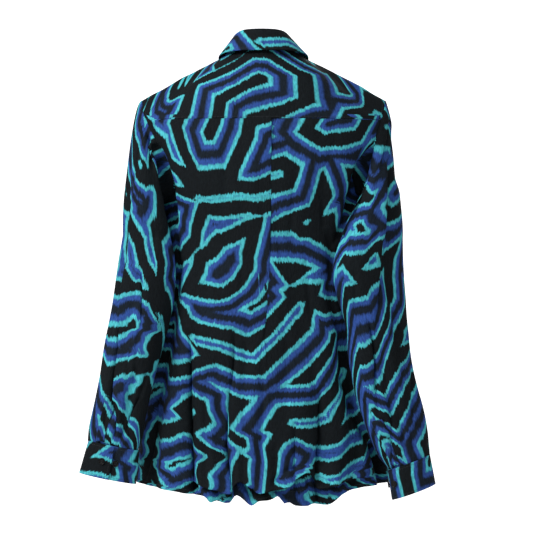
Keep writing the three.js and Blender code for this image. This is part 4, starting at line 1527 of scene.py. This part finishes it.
class Shader(Nodes):
    """A material under construction."""

    def __init__(self, name: str) -> None:
        """Starts an empty material.

        Args:
            name: Its name.
        """
        self.material = bpy.data.materials.new(name)
        self.material.use_nodes = True
        super().__init__(self.material.node_tree)
        self.tree.nodes.clear()

    def signal(self, node: bpy.types.Node, output: str | int = 0) -> Signal:
        """One of a node's outputs as a signal."""
        return Signal(self, node.outputs[output])

    def parts(self, vector: object) -> tuple[Signal, Signal, Signal]:
        """The three numbers of a vector."""
        made = self.node("ShaderNodeSeparateXYZ", None, {0: vector})
        return tuple(self.signal(made, i) for i in range(3))

    def map(self, name: str) -> tuple[Signal, Signal]:
        """The two numbers of one of the piece's own maps."""
        made = self.node("ShaderNodeUVMap", {"uv_map": name})
        return self.parts(made.outputs[0])[:2]

    def solid_noise(self, *scales: float, detail: float = 2.0) -> Signal:
        """Noise on Object coordinates, by one scale for all three or by one for each."""
        place = self.node("ShaderNodeTexCoord").outputs["Object"]
        x, y, z = self.parts(place)
        along_x, along_y, along_z = scales if len(scales) > 1 else scales * 3
        return self.noise(x * along_x, y * along_y, z * along_z, detail)

    def noise(self, x: object, y: object, z: object, detail: float = 2.0) -> Signal:
        """Soft noise between about -0.5 and 0.5.

        Args:
            x: The first coordinate, already scaled.
            y: The second one.
            z: The third one, which also sets it apart from other noise.
            detail: How much finer noise is added.

        Returns:
            The noise.
        """
        place = self.node("ShaderNodeCombineXYZ", None, {0: x, 1: y, 2: z})
        made = self.node(
            "ShaderNodeTexNoise", {"noise_dimensions": "3D"},
            {"Vector": place.outputs[0], "Scale": 1.0, "Detail": detail, "Roughness": 0.55})
        return self.signal(made) - 0.5

    def mix(self, factor: object, first: object, second: object) -> bpy.types.NodeSocket:
        """A colour between two colours."""
        made = self.node("ShaderNodeMix", {"data_type": "RGBA"}, {0: factor, 6: first, 7: second})
        return made.outputs[2]

    def brighter(self, colour: object, factor: Signal) -> bpy.types.NodeSocket:
        """A colour made brighter or darker by a factor near 1."""
        grey = self.node("ShaderNodeCombineXYZ", None, {0: factor, 1: factor, 2: factor})
        made = self.node(
            "ShaderNodeVectorMath", {"operation": "MULTIPLY"}, {0: colour, 1: grey.outputs[0]})
        return made.outputs[0]

    def finish(
        self, sockets: dict[str, object], height: Signal | None = None, distance: float = 0.0
    ) -> bpy.types.Material:
        """Closes the material with its surface.

        Args:
            sockets: The surface's inputs.
            height: The relief of its bump, if it has one.
            distance: How high that relief is, in metres.

        Returns:
            The material.
        """
        if height is not None:
            bump = self.node(
                "ShaderNodeBump", None, {"Strength": 1.0, "Distance": distance, "Height": height})
            sockets = {**sockets, "Normal": bump.outputs[0]}
        surface = self.node("ShaderNodeBsdfPrincipled", None, sockets)
        self.node("ShaderNodeOutputMaterial", None, {"Surface": surface.outputs[0]})
        return self.material


@dataclass(frozen=True)
class Grain:
    """Noise on the flat cut: how many times it changes in a metre across and down, and its layer."""

    across: float
    down: float
    layer: float
    detail: float = 2.0

    def on(self, shader: Shader, u: Signal, v: Signal) -> Signal:
        """Adds the noise at places on the flat cut."""
        return shader.noise(u * self.across, v * self.down, self.layer, self.detail)


@dataclass(frozen=True)
class Edge:
    """A printed edge: how far it lies from a band's middle, and how far it bleeds in and out."""

    away: float
    inside: float
    outside: float

    def passed(self, away: Signal) -> Signal:
        """Rises from 0 inside the edge to 1 outside it."""
        return away.step(self.away - self.inside, self.away + self.outside)


@dataclass(frozen=True)
class PrintedCloth:
    """Thin crinkled cloth, printed in feathered bands whose edges run along the warp, with shade
    painted into its colour along its crinkles and slub threads.

    Attributes:
        field: The colour between the bands.
        core: The colour of their middles.
        blue: The colour beside those.
        turquoise: The colour of their edges.
        feather: How far the threads carry the print down the cloth, in metres.
        waver: How far its edges waver with them.
        bleed: How far it bleeds all round.
        level: The share of the feathering that is left where a band runs down the cloth.
        to_blue: Where the core ends.
        to_turquoise: Where the blue ends.
        to_field: Where the turquoise ends.
        threads: The grain of the feathering.
        waves: The grain of the wavering.
        bleeding: The grain of the bleeding.
        slubs_and_shade: Thick threads down the cloth, in its relief, roughness and colour; in the
            colour they are partly the threads' own tone and partly painted shade, lighter where they
            stand up.
        wear: Large faint patches.
        crepe_and_shade: The crinkled surface, and the shade painted on it: lighter colour on its crests
            and darker in its hollows.
        relief: The height of that surface, in metres.
    """

    field: Colour = (11, 16, 19)
    core: Colour = (16, 24, 33)
    blue: Colour = (40, 68, 130)
    turquoise: Colour = (66, 163, 171)
    feather: float = 0.005
    waver: float = 0.0024
    bleed: float = 0.0012
    level: float = 0.2
    to_blue: Edge = Edge(0.0059, 0.0026, 0.0026)
    to_turquoise: Edge = Edge(0.0134, 0.0018, 0.0012)
    to_field: Edge = Edge(0.0186, 0.0011, 0.0015)
    threads: Grain = Grain(420, 62, 0)
    waves: Grain = Grain(110, 26, 3)
    bleeding: Grain = Grain(600, 90, 7)
    slubs_and_shade: Grain = Grain(1100, 45, 11)
    wear: Grain = Grain(24, 9, 17)
    crepe_and_shade: Grain = Grain(310, 120, 13, 3)
    relief: float = 0.0014

    def build(self) -> bpy.types.Material:
        """Builds the material on the maps of the flat cut and of the bands."""
        shader = Shader("printed_cloth")
        u, v = shader.map("cut")
        phase, slope = shader.map("bands")
        threads, waves, bleeding, slubs_and_shade, wear, crepe_and_shade = (
            grain.on(shader, u, v) for grain in
            (self.threads, self.waves, self.bleeding, self.slubs_and_shade, self.wear, self.crepe_and_shade)
        )
        period = PRINT.period * MM
        steep = abs(slope) * (1 - self.level) + self.level
        shifted = phase + steep * (threads * (2 * self.feather) + waves * (2 * self.waver))
        middle = (shifted / period).fraction() - 0.5
        away = abs(middle) * period + bleeding * self.bleed
        colour = linear(self.core)
        for edge, beyond in (
            (self.to_blue, self.blue), (self.to_turquoise, self.turquoise), (self.to_field, self.field),
        ):
            colour = shader.mix(edge.passed(away), colour, linear(beyond))
        # Painted shade: the crinkle noise, which also raises the bump, makes the colour lighter on the
        # crests and darker in the hollows.
        # The slub noise is partly the threads' own tone and partly painted shade: lighter streaks where
        # the threads stand up, darker between them.
        colour = shader.brighter(colour, 1 + slubs_and_shade * 0.8 + crepe_and_shade * 1.5 + wear * 0.6)
        return shader.finish(
            {"Base Color": colour, "Roughness": 0.8 + slubs_and_shade * 0.1, "Specular IOR Level": 0.1},
            slubs_and_shade * 0.4 + crepe_and_shade, self.relief)


@dataclass(frozen=True)
class Thread:
    """Spun sewing thread, its twist so many times in a metre, its relief in metres."""

    colour: Colour = (22, 26, 34)
    twist: float = 2500.0
    relief: float = 0.0001

    def build(self) -> bpy.types.Material:
        """Builds the material on Object coordinates."""
        shader = Shader("thread")
        twist = shader.solid_noise(self.twist)
        colour = shader.brighter(linear(self.colour)[:3], 1 + twist * 0.6)
        return shader.finish(
            {"Base Color": colour, "Roughness": 0.6 + twist * 0.2}, twist, self.relief)


@dataclass(frozen=True)
class ButtonResin:
    """Polished black resin with faint swirls and fine scratches, so many in a metre."""

    colour: Colour = (5, 5, 6)
    swirls: float = 260.0
    scratches: Triple = (3000.0, 600.0, 3000.0)
    relief: float = 0.00003

    def build(self) -> bpy.types.Material:
        """Builds the material on Object coordinates."""
        shader = Shader("button_resin")
        swirl = shader.solid_noise(self.swirls, detail=4.0)
        scratch = shader.solid_noise(*self.scratches)
        colour = shader.brighter(linear(self.colour)[:3], 1 + swirl * 0.8)
        return shader.finish(
            {"Base Color": colour, "Roughness": 0.3 + scratch * 0.25, "Specular IOR Level": 0.16},
            scratch, self.relief)


@dataclass(frozen=True)
class Lamp:
    """A soft square light: its name, its place and size in metres, and its power in watts."""

    name: str
    place: Triple
    size: float
    power: float

    def build(self, aim: Triple) -> None:
        """Adds the light, turned towards a point."""
        light = bpy.data.lights.new(self.name, "AREA")
        light.shape, light.size, light.energy = "SQUARE", self.size, self.power
        made = placed_object(self.name, light)
        made.location = self.place
        x, y, z = np.array(aim) - np.array(self.place)
        made.rotation_euler = (math.atan2(math.hypot(x, y), -z), 0, math.atan2(-x, y))


@dataclass(frozen=True)
class Studio:
    """The camera at the picture's angle, soft lights, a pale floor and a white backdrop.

    Attributes:
        eye: Where the camera is, in metres.
        frame_width: The width that the picture takes in at the middle of the shirt.
        sensor: The width of the camera's sensor, in millimetres.
        floor_height: The height of the floor.
        floor_size: Its side.
        backdrop_distance: How far behind the shirt the backdrop stands.
        backdrop_size: Its side.
        paint: The grey of both.
        sky: The colour of the even light all round.
        sky_strength: The strength of that light.
        aim: The point that the lights face.
        lamps: The lights.
    """

    eye: Triple = (0.0051, -4.0, -0.3477)
    frame_width: float = 0.9061
    sensor: float = 36.0
    floor_height: float = -1.2
    floor_size: float = 6.0
    backdrop_distance: float = 7.0
    backdrop_size: float = 3.0
    paint: Colour = (0.93, 0.93, 0.93)
    sky: Colour = (0.95, 0.97, 1.0)
    sky_strength: float = 0.3
    aim: Triple = (0.0, 0.0, -0.35)
    lamps: tuple[Lamp, ...] = (
        Lamp("key", (-2.6, -1.8, 1.6), 1.4, 142), Lamp("fill", (2.4, -2.8, 0.2), 2.0, 26),
        Lamp("top", (0.2, -1.0, 2.4), 1.5, 28), Lamp("rear", (0.6, 2.8, 1.0), 2.2, 45),
    )

    def build(self) -> None:
        """Adds the camera, the lights and the stage."""
        scene = bpy.context.scene
        lens = bpy.data.cameras.new("camera")
        lens.sensor_width = self.sensor
        lens.lens = self.sensor * -self.eye[1] / self.frame_width
        camera = placed_object("camera", lens)
        camera.location = self.eye
        camera.rotation_euler = (math.pi / 2, 0, 0)
        scene.camera = camera
        scene.view_settings.view_transform = "Standard"
        world = bpy.data.worlds.new("studio")
        world.use_nodes = True
        background = world.node_tree.nodes["Background"]
        background.inputs["Color"].default_value = (*self.sky, 1.0)
        background.inputs["Strength"].default_value = self.sky_strength
        scene.world = world
        for lamp in self.lamps:
            lamp.build(self.aim)
        self.sheet("floor", self.floor_size, (0, 0, self.floor_height), upright=False)
        backdrop = (0, self.backdrop_distance, self.eye[2])
        self.sheet("backdrop", self.backdrop_size, backdrop, upright=True)

    def sheet(self, name: str, size: float, centre: Triple, upright: bool) -> None:
        """Adds a square of the stage.

        Args:
            name: Its name.
            size: Its side.
            centre: Its middle.
            upright: Whether it stands and glows, as a backdrop, or lies, as a floor.
        """
        half = size / 2
        corners = ((-half, -half), (half, -half), (half, half), (-half, half))
        turned = [(x, 0, y) if upright else (x, y, 0) for x, y in corners]
        mesh = bpy.data.meshes.new(name)
        mesh.from_pydata([tuple(np.add(centre, c)) for c in turned], [], [(0, 1, 2, 3)])
        shader = Shader(f"{name}_paint")
        colour = shader.brighter(self.paint, 1 + shader.solid_noise(40) * 0.02)
        sockets = {"Base Color": colour, "Roughness": 0.9}
        if upright:
            sockets |= {"Emission Color": (1, 1, 1, 1), "Emission Strength": 1.0}
        mesh.materials.append(shader.finish(sockets))
        placed_object(name, mesh)


@dataclass(frozen=True)
class Stitching:
    """Rows of stitches along paths, made with Geometry Nodes.

    Attributes:
        name: The name of the piece.
        pitch: The distance between stitches.
        length: Their length.
        width: Their thickness.
        seed: Sets how their lengths differ.
    """

    name: str
    pitch: float = 2.6
    length: float = 2.0
    width: float = 0.32
    seed: int = 3

    @staticmethod
    def tree() -> bpy.types.NodeTree:
        """Builds the tree that sets a stitch at every pitch along a path."""
        tree = bpy.data.node_groups.new("stitch_rows", "GeometryNodeTree")
        face = tree.interface
        face.new_socket("Paths", in_out="INPUT", socket_type="NodeSocketGeometry")
        for name in ("Pitch", "Stitch length", "Thread width"):
            face.new_socket(name, in_out="INPUT", socket_type="NodeSocketFloat")
        face.new_socket("Seed", in_out="INPUT", socket_type="NodeSocketInt")
        face.new_socket("Thread", in_out="INPUT", socket_type="NodeSocketMaterial")
        face.new_socket("Stitches", in_out="OUTPUT", socket_type="NodeSocketGeometry")
        nodes = Nodes(tree)
        inputs = nodes.node("NodeGroupInput").outputs
        curve = nodes.node("GeometryNodeMeshToCurve", None, {0: inputs["Paths"]})
        spots = nodes.node(
            "GeometryNodeCurveToPoints", {"mode": "LENGTH"},
            {"Curve": curve.outputs[0], "Length": inputs["Pitch"]})
        radius = nodes.node(
            "ShaderNodeMath", {"operation": "MULTIPLY"}, {0: inputs["Thread width"], 1: 0.5})
        stitch = nodes.node(
            "GeometryNodeMeshCylinder", {"fill_type": "NGON"},
            {"Vertices": 6, "Radius": radius.outputs[0], "Depth": inputs["Stitch length"]})
        scale = nodes.node(
            "FunctionNodeRandomValue", {"data_type": "FLOAT"},
            {"Min": 0.86, "Max": 1.08, "Seed": inputs["Seed"]})
        sizes = nodes.node("ShaderNodeCombineXYZ", None, {0: 1.0, 1: 1.0, 2: scale.outputs[1]})
        placed = nodes.node(
            "GeometryNodeInstanceOnPoints", None,
            {"Points": spots.outputs["Points"], "Instance": stitch.outputs["Mesh"],
             "Rotation": spots.outputs["Rotation"], "Scale": sizes.outputs[0]})
        real = nodes.node("GeometryNodeRealizeInstances", None, {0: placed.outputs[0]})
        dyed = nodes.node(
            "GeometryNodeSetMaterial", None,
            {"Geometry": real.outputs[0], "Material": inputs["Thread"]})
        nodes.node("NodeGroupOutput", None, {0: dyed.outputs[0]})
        return tree

    def sew(
        self, paths: Sequence[Array], thread: bpy.types.Material, tree: bpy.types.NodeTree
    ) -> bpy.types.Object:
        """Sews along some paths.

        Args:
            paths: Lines of points, in millimetres.
            thread: The thread's material.
            tree: The tree from tree().

        Returns:
            The stitches, as one plain mesh.
        """
        mesh = bpy.data.meshes.new(self.name + "_paths")
        points = np.concatenate(paths) * MM
        edges, start = [], 0
        for path in paths:
            edges += [(i, i + 1) for i in range(start, start + len(path) - 1)]
            start += len(path)
        mesh.from_pydata(points.tolist(), edges, [])
        holder = placed_object(self.name + "_paths", mesh)
        modifier = holder.modifiers.new("stitches", "NODES")
        modifier.node_group = tree
        values = {
            "Pitch": self.pitch * MM,
            "Stitch length": self.length * MM,
            "Thread width": self.width * MM,
            "Seed": self.seed,
            "Thread": thread,
        }
        for item in tree.interface.items_tree:
            if item.name in values:
                modifier[item.identifier] = values[item.name]
        evaluated = holder.evaluated_get(bpy.context.evaluated_depsgraph_get())
        made = placed_object(self.name, bpy.data.meshes.new_from_object(evaluated))
        bpy.data.objects.remove(holder)
        return made


@dataclass
class Button:
    """A four-hole button in place of a plain one, facing away from the cloth below it.

    Attributes:
        node: The name of the solid that it stands for.
        panel: The cloth that it is on.
        radius: Its radius.
        height: Its height.
        rim: The width of its raised rim.
        dish: How far the middle lies below the rim.
        hole: The radius of each hole.
        spread: How far the holes lie from the middle, both ways.
        floor: How thick the resin is at the bottom of a hole.
        sides: How many sides it has.
        row: The row of the cloth's nearest point.
        column: The column of that point.
        turned: The directions across, up and out of it.
        base: The middle of its lower face.
    """

    node: str
    panel: Panel
    radius: float = 5.5
    height: float = 2.4
    rim: float = 0.8
    dish: float = 0.5
    hole: float = 0.75
    spread: float = 1.3
    floor: float = 0.3
    sides: int = 60
    row: int = field(init=False)
    column: int = field(init=False)
    turned: Array = field(init=False)
    base: Array = field(init=False)

    def __post_init__(self) -> None:
        """Finds where the solid is and which way it faces."""
        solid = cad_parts[self.node]
        corners = np.array([solid.matrix_world @ v.co for v in solid.data.vertices]) / MM
        centre = (corners.min(axis=0) + corners.max(axis=0)) / 2
        cloth = self.panel.points.reshape(-1, 3)
        nearest = np.linalg.norm(cloth - centre, axis=1).argmin()
        self.row, self.column = np.unravel_index(nearest, self.panel.points.shape[:2])
        facing = self.panel.normals()[self.row, self.column]
        axis = np.linalg.svd(corners - corners.mean(axis=0), full_matrices=False)[2][2]
        axis = axis * np.sign(axis @ facing)
        across = unit(np.cross(axis, [0.0, 0.0, 1.0]))
        self.turned = np.stack([across, np.cross(axis, across), axis])
        self.base = centre - axis * self.height / 2

    def placed(self, local: Array) -> Array:
        """Turns places on the button, across, up and out, into points of the shirt."""
        return self.base + local @ self.turned

    def build(self, resin: bpy.types.Material) -> bpy.types.Object:
        """Makes the button's mesh.

        Args:
            resin: Its material.

        Returns:
            The new object.
        """
        radii = np.linspace(0.2, self.radius - 0.35, 26)
        angles = np.linspace(0, FULL_TURN, self.sides, endpoint=False)
        x, y = radii[:, None] * np.cos(angles), radii[:, None] * np.sin(angles)
        inner = self.radius - 2 * self.rim
        z = self.height - self.dish * (1 - smooth(inner, inner + self.rim, radii))[:, None] + 0 * x
        apart = np.hypot(np.abs(x) - self.spread, np.abs(y) - self.spread)
        deep = self.height - self.dish - self.floor
        z -= deep * (1 - smooth(0.8 * self.hole, 1.2 * self.hole, apart))
        rings = [point(x, y, z)]
        for radius, height in ((-0.1, -0.1), (0, -0.4), (0, 0.3 - self.height), (-0.3, -self.height)):
            wide = self.radius + radius
            rings.append(point(
                wide * np.cos(angles), wide * np.sin(angles), self.height + height)[None])
        rings = np.concatenate(rings)
        ends = point(0.0, 0.0, np.array([self.height - self.dish, 0.0]))
        local = np.concatenate([ends[:1], rings.reshape(-1, 3), ends[1:]])
        pairs = [(1 + i, 1 + (i + 1) % self.sides) for i in range(self.sides)]
        last = (len(rings) - 1) * self.sides
        faces = [(0, a, b) for a, b in pairs]
        faces += [(len(local) - 1, b + last, a + last) for a, b in pairs]
        for start in range(0, last, self.sides):
            end = start + self.sides
            faces += [(a + start, a + end, b + end, b + start) for a, b in pairs]
        mesh = bpy.data.meshes.new(self.node + "_resin")
        mesh.from_pydata((self.placed(local) * MM).tolist(), [], faces)
        mesh.shade_smooth()
        mesh.materials.append(resin)
        return placed_object(self.node + "_resin", mesh)

    def threads(self) -> list[Array]:
        """The two stitches that hold the button, as paths from hole to hole."""
        out = self.height - self.dish + THREAD_LIFT
        ends = np.array([-1.0, 0.0, 1.0]) * self.spread
        return [self.placed(point(ends, side * self.spread, out)) for side in (-1, 1)]

    def hole_edges(self, upright: bool, reach: int, apart: float = 0.7) -> list[Array]:
        """The two worked edges of the buttonhole below the button.

        Args:
            upright: Whether it runs down the cloth.
            reach: How many rows or columns it runs to either side.
            apart: How far each edge lies from the cut.

        Returns:
            The two paths.
        """
        cloth = self.panel.moved(self.panel.thickness / 2 + 0.12)
        middle = self.row if upright else self.column
        near = slice(middle - reach, middle + reach + 1)
        where = (near, self.column) if upright else (self.row, near)
        path = cloth[where]
        side = unit(np.cross(self.panel.normals()[where], np.gradient(path, axis=0)))
        return [path + side * apart, path - side * apart]


# The leaf's first row below its roll, and the ends of the short row of stitches below the collar.
LEAF_FALL = 14
LABEL_EDGES = (-43, 21)


def main() -> None:
    """Builds the shirt and its studio, and reports each piece."""
    logging.basicConfig(level=logging.INFO, format="%(message)s")
    Studio().build()
    cloth = PrintedCloth().build()
    thread = Thread().build()
    body, collar = Body(), Collar()
    yoke, back = body.yoke(), body.back()
    front_right, front_left = body.front(1), body.front(-1)
    placket = body.placket(front_left)
    stand, leaf = collar.stand(), collar.leaf()
    for panel, node, rests_on, held in (
        (yoke, "yoke", "collar_stand_cloth", Held.HUNG),
        (back, "back", "yoke_cloth", Held.HUNG),
        (front_right, "front_right", "yoke_cloth", Held.HUNG),
        (front_left, "front_left", "yoke_cloth", Held.HUNG),
        (placket, "placket", "front_left_cloth", Held.LAID),
        (stand, "collar_stand", "yoke_cloth", Held.FOLDED),
        (leaf, "collar_leaf", "collar_stand_cloth", Held.FOLDED),
    ):
        hang(panel, node, cloth)
    buttons = [Button(f"button_front_{i}", placket) for i in range(1, 8)]
    buttons.append(Button("button_collar", stand))
    seams = [yoke.row(-2), back.row(-4), front_right.row(-3), front_left.row(-3)]
    edges = [placket.column(1), placket.column(-2), leaf.row(-3), stand.row(1)]
    edges += [leaf.column(column)[LEAF_FALL:] for column in (3, -4)]
    for sleeve in (RIGHT_SLEEVE, LEFT_SLEEVE):
        name = sleeve.name
        arm, cuff = sleeve.arm(), sleeve.cuff_panel()
        slit = sleeve.slit_band(arm)
        hang(arm, f"sleeve_{name}", cloth)
        hang(cuff, f"cuff_{name}", cloth)
        hang(slit, f"sleeve_slit_{name}", cloth)
        buttons += [Button(f"button_cuff_{name}_{i}", cuff) for i in (1, 2)]
        edges += [cuff.row(2), cuff.row(-3), cuff.column(-3), slit.column(0), slit.column(-1)]
    below_collar = yoke.row(5)
    left, right = LABEL_EDGES
    label = below_collar[(below_collar[:, 0] > left) & (below_collar[:, 0] < right)]
    resin = ButtonResin().build()
    threads, holes = [], []
    for button in buttons:
        dress(button.build(resin), [button.node])
        threads += button.threads()
        upright = "front" in button.node
        # The second button of each cuff only makes it tighter, so it has no hole.
        if not button.node.endswith(("left_2", "right_2")):
            holes += button.hole_edges(upright, 2 if upright else 3)
    tree = Stitching.tree()
    for stitching, paths in (
        (Stitching("seam_stitches"), seams),
        (Stitching("edge_stitches"), edges),
        (Stitching("label_stitches", 2.2, 1.8), [label]),
        (Stitching("buttonhole_stitches", 0.8, 0.9), holes),
        (Stitching("button_threads", 0.9, 1.2), threads),
    ):
        dress(stitching.sew(paths, thread, tree), [])


if __name__ == "__main__":
    main()
